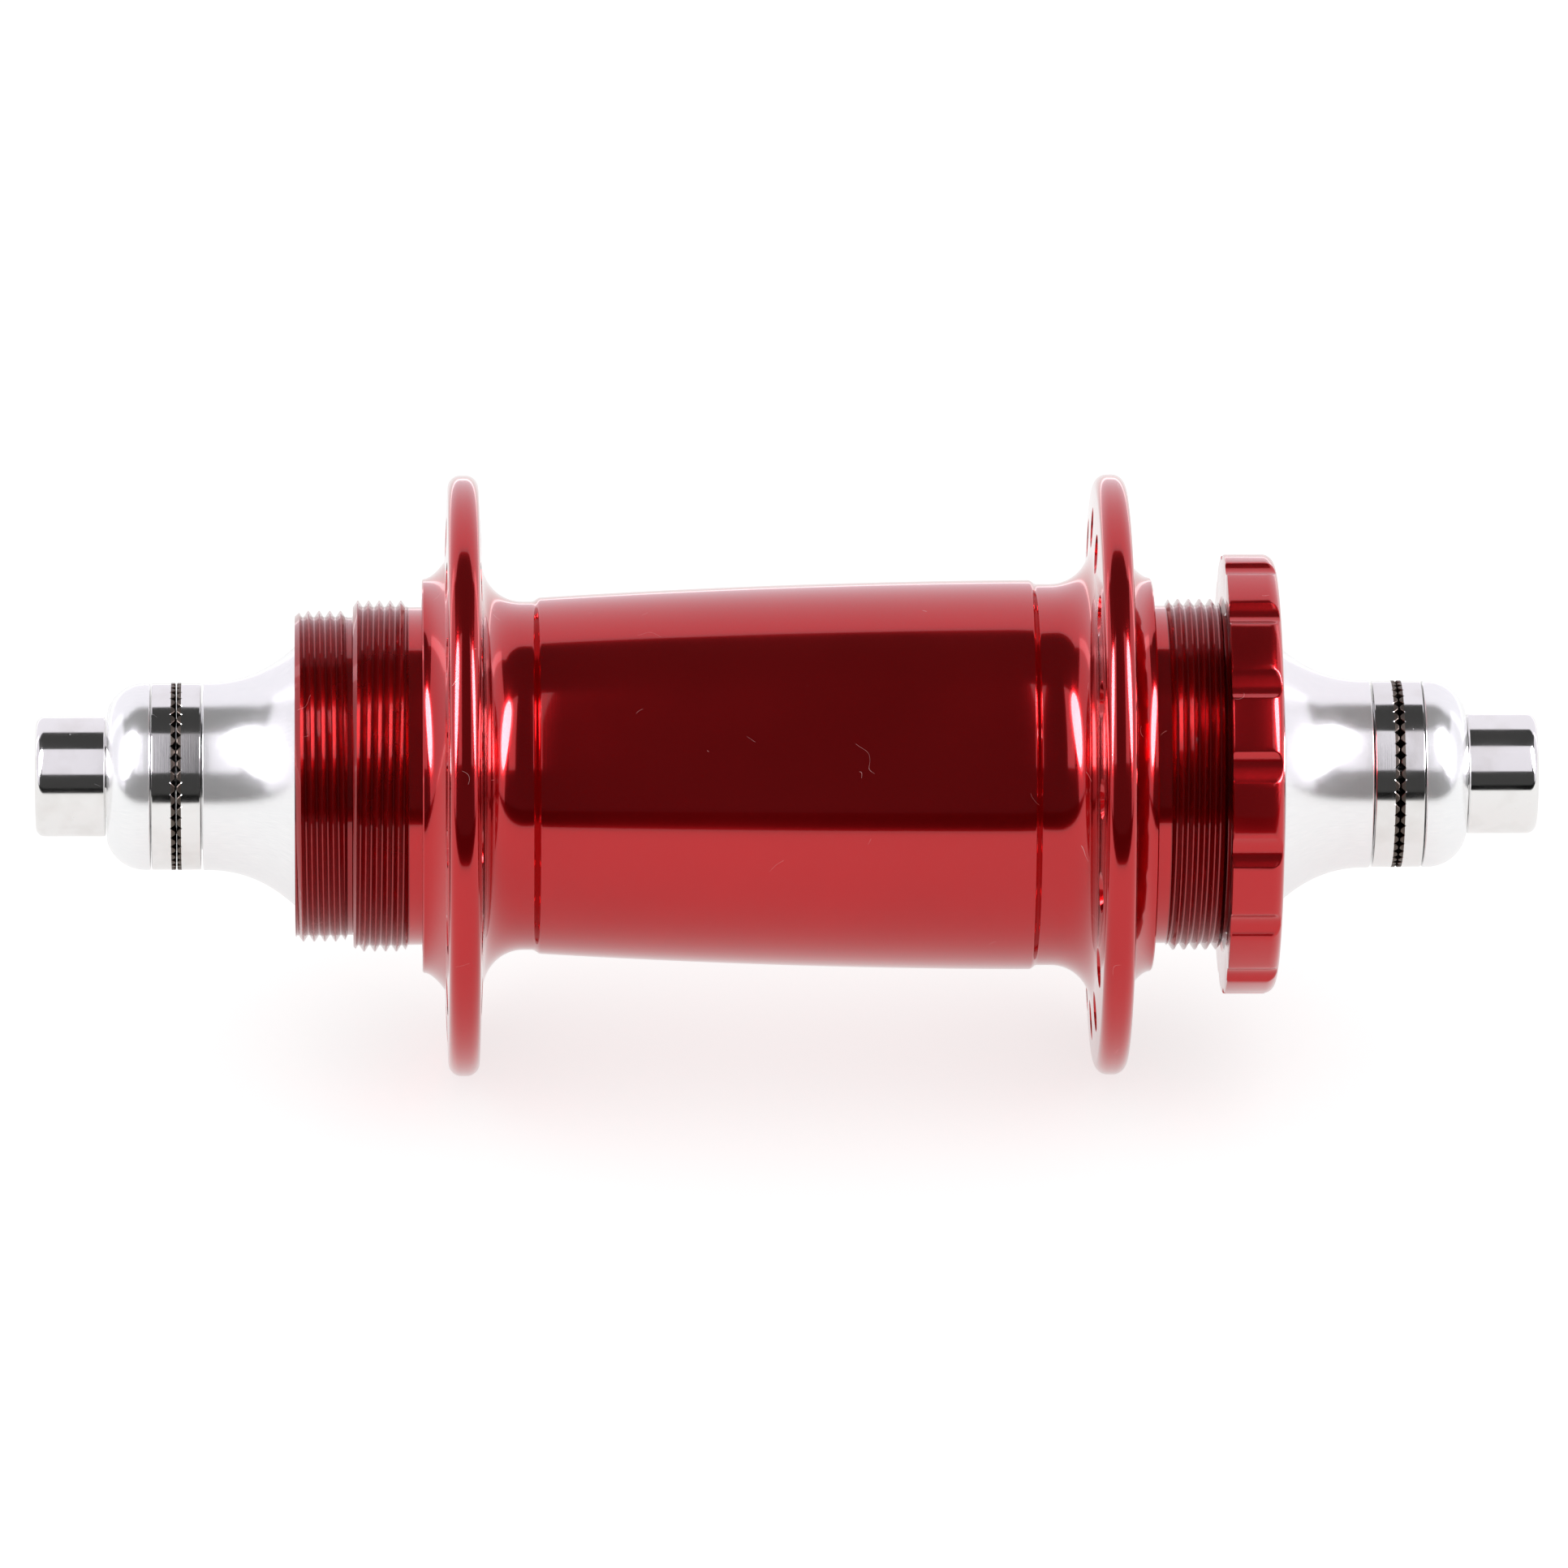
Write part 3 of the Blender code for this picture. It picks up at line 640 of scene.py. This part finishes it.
def spokeHoles(side):
    # one countersunk hole, repeated round the flange
    s = shell
    middle, half = s["flangeMiddle"], s["rimWidth"] / 2
    sink = s["countersink"] - s["spokeHole"]
    clear = 0.5 * mm  # how far the cutter stands out of the flange's faces
    inner, outer = middle - half - s["edge"], middle + half + s["edge"]
    rim = s["countersink"] + clear
    spool = [
        (inner - clear, 0), (inner - clear, rim), (inner + sink, s["spokeHole"]),
        (outer - sink, s["spokeHole"]), (outer + clear, rim), (outer + clear, 0),
    ]
    outline = [(axial, s["spokeCircle"] + radial) for axial, radial in spool]
    holes = turnPiece("spokeHoles", outline, s["holeSteps"], side, (s["spokeCircle"], 0, 0))
    bpy.ops.object.mode_set(mode="EDIT")
    bpy.ops.mesh.select_all(action="SELECT")
    share = (s["spokes"] - 1) / s["spokes"]
    bpy.ops.mesh.spin(steps=s["spokes"] - 1, dupli=True, angle=fullTurn * share,
                      center=(0, 0, 0), axis=(0, 1, 0))
    mendNormals()
    holes.rotation_euler.y = fullTurn * s["holePhases"][side] / s["spokes"]
    pick(holes)
    bpy.ops.object.transform_apply(rotation=True)
    return holes


def makeShell():
    s = shell
    outboard = flangeOutside() + threadedEnd()
    outer = (
        otherEnd(flangeInside(s["leftBarrel"], s["leftStep"]) + outboard)
        + barrelPoints()
        + flangeInside(s["rightBarrel"], s["rightStep"]) + outboard
    )
    inner = otherEnd(shellBore()) + shellBore()
    piece = turnPiece("hubShell", outer + inner[::-1], s["steps"])
    cutters = [spokeHoles(1), spokeHoles(-1)]
    for side in (1, -1):
        for name, hand in (("sprocket", 1), ("lockring", -1)):
            start, end = s[f"{name}Thread"]
            start -= s[f"{name}RunIn"]
            cutters.append(threadGroove(f"{name}Groove", s[f"{name}Crest"], start, end, side, hand))
    cutPiece(piece, joinPieces(cutters))
    finishPiece(piece, redAnodised, "hub", ["hub_shell"])


makeShell()
print("hub: shell turned, drilled and threaded")


# lockring

lockring = {
    "start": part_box("lockring")[0][1],
    "end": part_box("lockring")[1][1],
    "radius": 21.7 * mm,
    "corner": 1.3 * mm,
    "edge": 0.2 * mm,
    "dish": 0.3 * mm,
    "bore": 16.45 * mm,
    "mouth": 17.6 * mm,
    "lobes": 16,
    "columns": 30,
    "phase": 12.9,  # degrees that one lobe stands above +X
    "notchRadius": 2.45 * mm,
    "notchDepth": 0.6 * mm,
    "soften": 0.05 * mm,
    "crowd": (0.4, 0.6),  # shares of a half lobe's columns before and by the end of its edge
    "crowdReach": (0.97, 1.05),  # where the columns crowd, in widths of a lobe's top
    "faceFall": (0.05 * mm, 0.3 * mm),
    "boreChamfer": 0.5 * mm,
    "grooveWidths": (0.85, 0.1),  # at the bore and at the groove's floor, in pitches
}


def lobeOutline():
    # (angle, drop) of each column of one lobe, from the middle of a lobe to the next
    k = lockring
    middle = k["radius"] - k["notchDepth"] + k["notchRadius"]
    half = math.pi / k["lobes"]
    cosine = (k["radius"] ** 2 + middle ** 2 - k["notchRadius"] ** 2) / (2 * k["radius"] * middle)
    notch = math.acos(cosine)
    count = k["columns"] // 2
    first, last = k["crowd"]
    near, past = (reach * (half - notch) for reach in k["crowdReach"])
    spread = []
    for i in range(count + 1):
        share = i / count
        if share < first:
            spread.append(near * share / first)
        elif share < last:
            spread.append(near + (past - near) * (share - first) / (last - first))
        else:
            spread.append(past + (half - past) * (share - last) / (1 - last))
    columns = []
    for angle in spread + [2 * half - angle for angle in reversed(spread[1:-1])]:
        away = half - abs(angle - half) if angle > half else angle
        offset = half - away
        inside = k["notchRadius"] ** 2 - (middle * math.sin(offset)) ** 2
        floor = middle * math.cos(offset) - math.sqrt(max(inside, 0)) if inside > 0 else middle
        gap = floor - k["radius"]
        smooth = (gap - math.sqrt(gap ** 2 + (2 * k["soften"]) ** 2)) / 2
        columns.append((angle, -smooth))
    return columns


def shapeLobes(piece):
    k = lockring
    columns = lobeOutline()
    total = k["columns"] * k["lobes"]
    for vertex in piece.data.vertices:
        x, y, z = vertex.co
        radius = math.hypot(x, z)
        column = round(math.atan2(z, x) / fullTurn * total) % total
        lobe, place = divmod(column, k["columns"])
        angle, drop = columns[place]
        angle += math.radians(k["phase"]) + lobe * fullTurn / k["lobes"]
        radius = min(radius, k["radius"] - drop)
        vertex.co = (radius * math.cos(angle), y, radius * math.sin(angle))


def makeLockring():
    k, t = lockring, thread
    corner = (k["end"] - k["corner"], k["radius"] - k["corner"])
    e, chamfer = k["edge"], k["boreChamfer"]
    outer = [(k["start"], k["radius"] - e), (k["start"] + e * edgeMiddle, k["radius"] - e * edgeMiddle)]
    outer += [(k["start"] + e, k["radius"])]
    outer += arcPoints(corner, k["corner"], 90, 0, 14)
    outer += [(k["end"] - k["faceFall"][0], corner[1] - k["faceFall"][1])]
    inner = [
        (k["end"] - k["dish"], k["bore"] + chamfer),
        (k["end"] - k["dish"] - chamfer, k["bore"]),
        (k["start"] + k["mouth"] - k["bore"], k["bore"]),
        (k["start"], k["mouth"]),
    ]
    piece = turnPiece("notchedLockring", outer + inner, k["columns"] * k["lobes"])
    shapeLobes(piece)
    low = k["bore"] - t["clear"]
    top = low + t["depth"]
    mouth, floor = (t["pitch"] / 2 * width for width in k["grooveWidths"])
    ridge = [(-mouth, low), (-floor, top), (floor, top), (mouth, low)]
    first = k["start"] - 1.5 * t["pitch"]  # from the air inboard of the ring
    turns = math.ceil((k["end"] - first) / t["pitch"]) + 1
    outline = [(first + axial, radial) for axial, radial in ridge]
    cutPiece(piece, helix("boreGroove", outline, turns, t["steps"], t["pitch"], False))
    finishPiece(piece, redBlasted, "lockring_body", ["lockring"], 35)


makeLockring()
print("hub: lockring made")


# axle

axle = {
    "end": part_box("axle")[1][1],
    "steps": 96,
    "shoulder": 39.35 * mm,
    "shoulderRadius": 8.6 * mm,
    "seat": 7.35 * mm,
    "seatEnd": 46.5 * mm,
    "boss": 5.0 * mm,
    "bore": 3.3 * mm,
    "tapped": 4.15 * mm,
    "tappedFrom": 38.54 * mm,
    "chamfer": 0.35 * mm,
    "fillet": 0.1 * mm,  # at the foot of the bearing's shoulder
    "drillPoint": 0.5 * mm,
    "mouth": 0.2 * mm,
}


def makeAxle():
    a = axle
    c = a["chamfer"]
    outer = [
        (a["shoulder"] - c, a["shoulderRadius"]), (a["shoulder"], a["shoulderRadius"] - c),
        (a["shoulder"], a["seat"] + a["fillet"]), (a["shoulder"] + a["fillet"], a["seat"]),
        (a["seatEnd"] - c, a["seat"]), (a["seatEnd"], a["seat"] - c),
        (a["seatEnd"], a["boss"]), (a["end"] - c, a["boss"]), (a["end"], a["boss"] - c),
    ]
    inner = [
        (a["tappedFrom"] - a["drillPoint"], a["bore"]), (a["tappedFrom"], a["tapped"]),
        (a["end"] - a["mouth"], a["tapped"]), (a["end"], a["tapped"] + a["mouth"]),
    ]
    outline = otherEnd(outer) + outer + (otherEnd(inner) + inner)[::-1]
    piece = turnPiece("axleShaft", outline, a["steps"])
    finishPiece(piece, bearingSteel, "axle_set", ["axle"])


makeAxle()
print("hub: axle made")


# bearings

bearing = {
    "steps": 96,
    "inner": 39.65 * mm,
    "outer": 46.35 * mm,
    "bore": 7.5 * mm,
    "outside": 13.85 * mm,
    "innerTop": 9.0925 * mm,
    "outerLow": 12.4075 * mm,
    "ballCircle": 10.75 * mm,
    "ball": 1.755 * mm,
    "track": 1.905 * mm,
    "edge": 0.3 * mm,
    "balls": 11,
    "cageWall": 0.5 * mm,
    "cageWidth": 2.4 * mm,
    "cageSteps": 132,
    "pocketGap": 0.05 * mm,
    "seal": 0.5 * mm,
    "sealGap": 0.15 * mm,
    "sealBead": (  # share of the way from rim to bore, share of the thickness
        (0, 0.7), (0.1, 1), (0.2, 0.7), (0.32, 0.5), (0.68, 0.5), (0.8, 0.7), (0.9, 1), (1, 0.7),
    ),
}


def makeRaces(side, sign):
    b = bearing
    e = b["edge"]
    middle = ((b["inner"] + b["outer"]) / 2, b["ballCircle"])
    reach = math.degrees(math.acos((b["ballCircle"] - b["innerTop"]) / b["track"]))
    track = arcPoints(middle, b["track"], 270 - reach, 270 + reach, 12)
    outline = [(b["inner"], b["innerTop"]), *track, (b["outer"], b["innerTop"])]
    outline += [(b["outer"], b["bore"] + e), (b["outer"] - e, b["bore"])]
    outline += [(b["inner"] + e, b["bore"]), (b["inner"], b["bore"] + e)]
    race = turnPiece(f"{side}InnerRace", outline, b["steps"], sign)
    finishPiece(race, bearingSteel, "axle_set", [f"{side}_inner_race"])
    reach = math.degrees(math.acos((b["outerLow"] - b["ballCircle"]) / b["track"]))
    track = arcPoints(middle, b["track"], 90 - reach, 90 + reach, 12)
    outline = [(b["outer"], b["outerLow"]), *track, (b["inner"], b["outerLow"])]
    outline += [(b["inner"], b["outside"] - e), (b["inner"] + e, b["outside"])]
    outline += [(b["outer"] - e, b["outside"]), (b["outer"], b["outside"] - e)]
    race = turnPiece(f"{side}OuterRace", outline, b["steps"], sign)
    finishPiece(race, bearingSteel, "hub", [f"{side}_outer_race"])


def makeSeals(side, sign):
    # a thin dished shield with a moulded bead near each edge
    b = bearing
    low, high = b["innerTop"] + b["sealGap"], b["outerLow"] - b["sealGap"]
    for place, start, outward in (("inner", b["inner"], -1), ("outer", b["outer"] - b["seal"], 1)):
        back = start if outward > 0 else start + b["seal"]
        face = []
        for share, raised in b["sealBead"]:
            face.append((back + outward * b["seal"] * raised, high + (low - high) * share))
        outline = face + [(back, low), (back, high)]
        seal = turnPiece(f"{side}{place.title()}Seal", outline, b["steps"], sign)
        finishPiece(seal, sealRubber, "hub", [f"{side}_{place}_seal"])


def makeBalls(name, radius, place, segments):
    b = bearing
    balls = []
    for i in range(b["balls"]):
        angle = fullTurn * (i + 0.5) / b["balls"]
        startClean()
        middle = (b["ballCircle"] * math.cos(angle), place, b["ballCircle"] * math.sin(angle))
        bpy.ops.mesh.primitive_uv_sphere_add(segments=segments, ring_count=segments // 2,
                                             radius=radius, location=middle)
        balls.append(bpy.context.object)
    joined = joinPieces(balls)
    joined.name = joined.data.name = name
    bpy.ops.object.transform_apply(location=True)
    return joined


def makeCage(side, sign):
    b = bearing
    place = sign * (b["inner"] + b["outer"]) / 2
    half, wall = b["cageWidth"] / 2, b["cageWall"] / 2
    middle = abs(place)
    outline = [
        (middle - half, b["ballCircle"] - wall), (middle + half, b["ballCircle"] - wall),
        (middle + half, b["ballCircle"] + wall), (middle - half, b["ballCircle"] + wall),
    ]
    cage = turnPiece(f"{side}BallCage", outline, b["cageSteps"], sign)
    cutPiece(cage, makeBalls("pockets", b["ball"] + b["pocketGap"], place, 24))
    joined = joinPieces([cage, makeBalls("balls", b["ball"], place, 32)])
    finishPiece(joined, bearingSteel, f"{side}_cage", [f"{side}_ball_cage"])


for side, sign in ends:
    makeRaces(side, sign)
    makeSeals(side, sign)
    makeCage(side, sign)
print("hub: bearings made")


# end caps, serrated rings and dome washers

cap = {
    "steps": 160,
    "start": 46.65 * mm,
    "lipStart": 47.4 * mm,
    "lipEnd": 48.4 * mm,
    "lipRadius": 12.8 * mm,
    "nose": 8.69 * mm,
    "neck": 9.24 * mm,
    "end": 57.46 * mm,
    "boss": 7.2 * mm,
    "stand": 57.6 * mm,
    "bore": 5.15 * mm,
    "edge": 0.1 * mm,
    "bellPoints": 32,
    "bellCrowd": 1.5,
    "bellCurve": 2.3,
}


def makeEndCap(side, sign):
    c = cap
    e = c["edge"]
    length, drop = c["end"] - e - c["lipEnd"], c["lipRadius"] - c["neck"]
    outer = [(c["start"], c["nose"]), (c["lipStart"], c["nose"]), (c["lipStart"], c["lipRadius"] - e)]
    outer += [(c["lipStart"] + e, c["lipRadius"])]
    for i in range(c["bellPoints"] + 1):
        share = (i / c["bellPoints"]) ** c["bellCrowd"]  # points crowd where the bell curves most
        radius = c["neck"] + drop * (1 - share) ** c["bellCurve"]
        outer.append((c["lipEnd"] + length * share, radius))
    outer += [(c["end"], c["neck"] - e), (c["end"], c["boss"]), (c["stand"], c["boss"])]
    outline = outer + [(c["stand"], c["bore"]), (c["start"], c["bore"])]
    bell = turnPiece(f"{side}EndCap", outline, c["steps"], sign)
    finishPiece(bell, satinAluminium, "axle_set", [f"{side}_end_cap"])


grip = {
    "teeth": 48,
    "columns": 8,  # columns of vertices to a tooth
    "radius": 9.2 * mm,
    "bore": 5.15 * mm,
    "thickness": 2.34 * mm,
    "depth": 0.45 * mm,
    "edge": 0.09 * mm,
    "land": 0.16,  # half width of a tooth's flat, in teeth
    "gap": 0.15 * mm,  # between the teeth of the two rings with no dropout in place
}


def cutTeeth(piece, face, inward):
    # sinks the columns of the toothed face between the lands
    g = grip
    for vertex in piece.data.vertices:
        x, y, z = vertex.co
        if abs(y - face) > g["edge"] * 1.1:
            continue
        tooth = (math.atan2(z, x) / fullTurn * g["teeth"]) % 1
        away = min(tooth, 1 - tooth)
        sink = max(0.0, (away - g["land"]) / (0.5 - g["land"]))
        vertex.co.y += inward * g["depth"] * sink


def makeGripRing(name, node, back, face, body):
    g = grip
    toward = 1 if back > face else -1
    e, middle = g["edge"], g["edge"] * edgeMiddle
    outline = [
        (face, g["bore"] + e), (face, (g["bore"] + g["radius"]) / 2), (face, g["radius"] - e),
        (face + toward * middle, g["radius"] - middle), (face + toward * e, g["radius"]),
        (back - toward * e, g["radius"]), (back - toward * middle, g["radius"] - middle),
        (back, g["radius"] - e), (back, g["bore"] + e), (back - toward * e, g["bore"]),
        (face + toward * e, g["bore"]),
    ]
    ring = turnPiece(name, outline, g["teeth"] * g["columns"])
    cutTeeth(ring, face, toward)
    finishPiece(ring, polishedSteel, body, [node], 12)


dome = {
    "steps": 160,
    "start": 62.64 * mm,
    "rim": 0.55 * mm,
    "length": 4.25 * mm,
    "curve": 3.9 * mm,
    "radius": 9.2 * mm,
    "recess": 64.8 * mm,
    "wide": 5.15 * mm,
    "bore": 4.15 * mm,
    "edge": 0.09 * mm,
}


def makeDomeWasher(side, sign):
    d = dome
    e = d["edge"]
    end = d["start"] + d["length"]
    middle = (d["start"] + d["rim"], d["radius"] - d["curve"])
    sweep = math.degrees(math.acos((d["length"] - d["rim"]) / d["curve"]))
    outline = [(d["start"], d["radius"] - e), (d["start"] + e, d["radius"])]
    outline += arcPoints(middle, d["curve"], 90, sweep, 24)
    outline += [(end, d["bore"] + e), (end - e, d["bore"]), (d["recess"], d["bore"])]
    outline += [(d["recess"], d["wide"]), (d["start"], d["wide"])]
    washer = turnPiece(f"{side}DomeWasher", outline, d["steps"], sign)
    finishPiece(washer, satinAluminium, f"{side}_clamp", [f"{side}_dome_washer"])


# axle bolts

bolt = {
    "steps": 128,
    "base": 67.04 * mm,
    "end": cadHigh.y,
    "head": 5.9 * mm,
    "corner": 0.9 * mm,
    "shank": 3.98 * mm,
    "tip": 42.54 * mm,
    "pitch": 1.25 * mm,
    "depth": 0.72 * mm,
    "threadEnd": 65.6 * mm,
    "threadSteps": 48,
    "grooveWidths": (0.92, 0.12),  # at the shank and at the groove's floor, in pitches
    "foot": 0.15 * mm,  # chamfer under the head
    "hex": 6.0 * mm,
    "hexDepth": 5.0 * mm,
    "mouth": 0.25 * mm,  # chamfer round the socket
}


def boltGroove(sign):
    b = bolt
    top, low = b["shank"] + thread["clear"], b["shank"] - b["depth"]
    start = b["tip"] - b["pitch"]
    mouth, floor = (b["pitch"] / 2 * width for width in b["grooveWidths"])
    ridge = [(-mouth, top), (-floor, low), (floor, low), (mouth, top)]
    outline = [(sign * start + axial, radial) for axial, radial in ridge]
    turns = math.ceil((b["threadEnd"] - start) / b["pitch"])
    return helix("shankGroove", outline, turns, b["threadSteps"], sign * b["pitch"], sign > 0)


def hexSocket(sign):
    # a six-sided bar and a shallow cone round its mouth
    b = bolt
    across = b["hex"] / math.sqrt(3)
    startClean()
    bpy.ops.mesh.primitive_cylinder_add(vertices=6, radius=across, depth=2 * b["hexDepth"],
                                        location=(0, sign * b["end"], 0))
    bar = bpy.context.object
    bar.rotation_euler = (math.pi / 2, math.pi / 6, 0)
    bpy.ops.object.transform_apply(location=True, rotation=True)
    bottom, top = b["end"] - 0.3 * mm, b["end"] + 0.1 * mm
    narrow, wide = across - b["mouth"] - 0.05 * mm, across + 0.15 * mm
    outline = [(bottom, 0), (bottom, narrow), (top, wide), (top, 0)]
    return turnPiece("socketMouth", outline, 48, sign), bar


def makeBolt(side, sign):
    b = bolt
    corner = (b["end"] - b["corner"], b["head"] - b["corner"])
    foot = b["foot"]
    outline = [(b["end"], 0), (b["end"], corner[1] * 0.75)]
    outline += arcPoints(corner, b["corner"], 0, 90, 12)
    outline += [(b["base"] + foot, b["head"]), (b["base"], b["head"] - foot), (b["base"], b["shank"])]
    outline += [(b["tip"] + b["depth"], b["shank"]), (b["tip"], b["shank"] - b["depth"]), (b["tip"], 0)]
    piece = turnPiece(f"{side}AxleBolt", outline, b["steps"], sign)
    groove = boltGroove(sign)
    cone, bar = hexSocket(sign)
    for cutter in (cone, bar, groove):
        cutPiece(piece, cutter)
    finishPiece(piece, polishedSteel, f"{side}_bolt", [f"{side}_axle_bolt"])


for side, sign in ends:
    makeEndCap(side, sign)
    face = sign * dropoutFace
    makeGripRing(f"{side}InnerRing", f"{side}_inner_serrated_ring",
                 face - sign * grip["thickness"], face, "axle_set")
    gap = sign * grip["gap"]
    makeGripRing(f"{side}OuterRing", f"{side}_outer_serrated_washer",
                 face + gap + sign * grip["thickness"], face + gap, f"{side}_clamp")
    makeDomeWasher(side, sign)
    makeBolt(side, sign)
print("hub: axle ends made")


# floor, light and camera

studio = {
    "elevation": 22.5,  # degrees of the camera above the floor
    "distance": 1646 * mm,
    "foot": -43 * mm,  # how far left of the hub's middle the camera stands
    "frame": 154.56 * mm,  # width that the view takes in at the hub
    "aimAcross": -0.24 * mm,
    "aimDown": 0.88 * mm,
    "roll": -0.49,
    "boxes": {  # shape, distance, across, above the line from hub to camera, radiance
        "leftCard": ("RECTANGLE", 200 * mm, (-170 * mm, -63.5 * mm), (14 * mm, 275 * mm), 0.85),
        "rightCard": ("RECTANGLE", 200 * mm, (68 * mm, 170 * mm), (14 * mm, 275 * mm), 0.85),
        "leftSoftbox": ("ELLIPSE", 195 * mm, (-720 * mm, -125 * mm), (8 * mm, 335 * mm), 2.0),
        "rightSoftbox": ("ELLIPSE", 195 * mm, (125 * mm, 720 * mm), (8 * mm, 335 * mm), 2.0),
        "leftCore": ("ELLIPSE", 190 * mm, (-520 * mm, -145 * mm), (20 * mm, 300 * mm), 15.0),
        "rightCore": ("ELLIPSE", 190 * mm, (145 * mm, 520 * mm), (20 * mm, 300 * mm), 15.0),
    },
    "boxTint": (0.99, 0.96, 1.04),
    "walls": {  # place in metres, the way it faces, width, height, radiance
        "backWall": ((-0.9, 0, 0.85), (1, 0, 0), 3.0, 1.76, 0.9),
        "leftWall": ((-0.1, -1.3, 0.5), (0, 1.3, 0), 1.8, 1.1, 0.8),
        "rightWall": ((-0.1, 1.3, 0.5), (0, -1.3, 0), 1.8, 1.1, 0.8),
    },
    "darkFrom": 177 * mm,  # beyond this the metal sees the floor as black
    "paper": ((0.36, 0.36, 0.36), (0.38, 0.38, 0.38)),
    "paperGlow": (0.60, 0.72),  # as the hub sees it, and as the camera does
    "air": 1.05,
    "airInMetal": 0.05,
    "sensor": 36,
    "clip": (0.05, 30),
    "floorSize": 14,
    "floorGap": 0.02 * mm,
}


def sightLines():
    # from the hub to the camera, and the camera's own upward
    rise = math.radians(studio["elevation"])
    return Vector((math.cos(rise), 0, math.sin(rise))), Vector((-math.sin(rise), 0, math.cos(rise)))


def addPanel(name, place, facing, width, height, radiance, shape="RECTANGLE"):
    # an area light seen only in the metal, so that it paints no hot spot on the floor
    startClean()
    bpy.ops.object.light_add(type="AREA", location=place)
    panel = bpy.context.object
    panel.name = panel.data.name = name
    panel.data.shape = shape
    panel.data.size, panel.data.size_y = width, height
    panel.data.color = studio["boxTint"]
    share = math.pi / 4 if shape == "ELLIPSE" else 1
    panel.data.energy = radiance * math.pi * width * height * share
    panel.rotation_euler = (-Vector(facing)).to_track_quat("Z", "Y").to_euler()
    panel.visible_camera = False
    panel.visible_diffuse = False


def makeFloor():
    startClean()
    place = (0, 0, cadLow.z - studio["floorGap"])
    bpy.ops.mesh.primitive_plane_add(size=studio["floorSize"], location=place)
    floor = bpy.context.object
    floor.name = "paleFloor"
    material, tree, shader = newMaterial("palePaper", Roughness=0.9, Metallic=0.0)
    shader.inputs["Specular IOR Level"].default_value = 0.0
    shader.inputs["Emission Color"].default_value = (1, 1, 1, 1)
    drift = placeGroup(tree, patchiness, Scale=6.0).outputs["Drift"]
    path = addNode(tree, "ShaderNodeLightPath").outputs
    split = addNode(tree, "ShaderNodeSeparateXYZ")
    tree.links.new(addNode(tree, "ShaderNodeTexCoord").outputs["Object"], split.inputs[0])
    beyond = addMath(tree, "GREATER_THAN", split.outputs["X"], studio["darkFrom"])
    unlit = addMath(tree, "MULTIPLY", beyond, path["Is Glossy Ray"])
    paper = addMix(tree, drift, *studio["paper"])
    tree.links.new(addMix(tree, unlit, paper, (0.0, 0.0, 0.0)), shader.inputs["Base Color"])
    glow = addRange(tree, path["Is Camera Ray"], 0, 1, *studio["paperGlow"])
    tree.links.new(addMath(tree, "MULTIPLY", glow, addMath(tree, "SUBTRACT", 1.0, unlit)),
                   shader.inputs["Emission Strength"])
    floor.data.materials.append(material)


def makeWorld():
    world = bpy.data.worlds.new("studioAir")
    bpy.context.scene.world = world
    world.use_nodes = True
    tree = world.node_tree
    lit = tree.nodes["Background"]
    dark = addNode(tree, "ShaderNodeBackground")
    for air, strength in ((lit, studio["air"]), (dark, studio["airInMetal"])):
        air.inputs["Color"].default_value = (1, 1, 1, 1)
        air.inputs["Strength"].default_value = strength
    path = addNode(tree, "ShaderNodeLightPath")
    mix = addNode(tree, "ShaderNodeMixShader")
    tree.links.new(path.outputs["Is Glossy Ray"], mix.inputs["Fac"])
    tree.links.new(lit.outputs[0], mix.inputs[1])
    tree.links.new(dark.outputs[0], mix.inputs[2])
    tree.links.new(mix.outputs[0], tree.nodes["World Output"].inputs["Surface"])


def makeLights():
    s = studio
    out, up = sightLines()
    for name, (shape, distance, (near, far), (low, high), radiance) in s["boxes"].items():
        place = out * distance + up * (low + high) / 2 + Vector((0, (near + far) / 2, 0))
        addPanel(name, place, -out, far - near, high - low, radiance, shape)
    for name, wall in s["walls"].items():
        addPanel(name, *wall)


def makeCamera():
    s = studio
    out, up = sightLines()
    startClean()
    bpy.ops.object.camera_add(location=out * s["distance"] + Vector((0, s["foot"], 0)))
    camera = bpy.context.object
    camera.name = "studioCamera"
    target = Vector((0, s["aimAcross"], 0)) - up * s["aimDown"]
    sight = target - camera.location
    camera.rotation_euler = sight.to_track_quat("-Z", "Y").to_euler()
    camera.rotation_euler.rotate_axis("Z", math.radians(-s["roll"]))
    camera.data.sensor_width = s["sensor"]
    camera.data.lens = s["sensor"] * sight.length / s["frame"]
    camera.data.clip_start, camera.data.clip_end = s["clip"]
    bpy.context.scene.camera = camera


makeFloor()
makeWorld()
makeLights()
makeCamera()
bpy.context.scene.view_settings.view_transform = "Standard"
print("hub: studio set up")
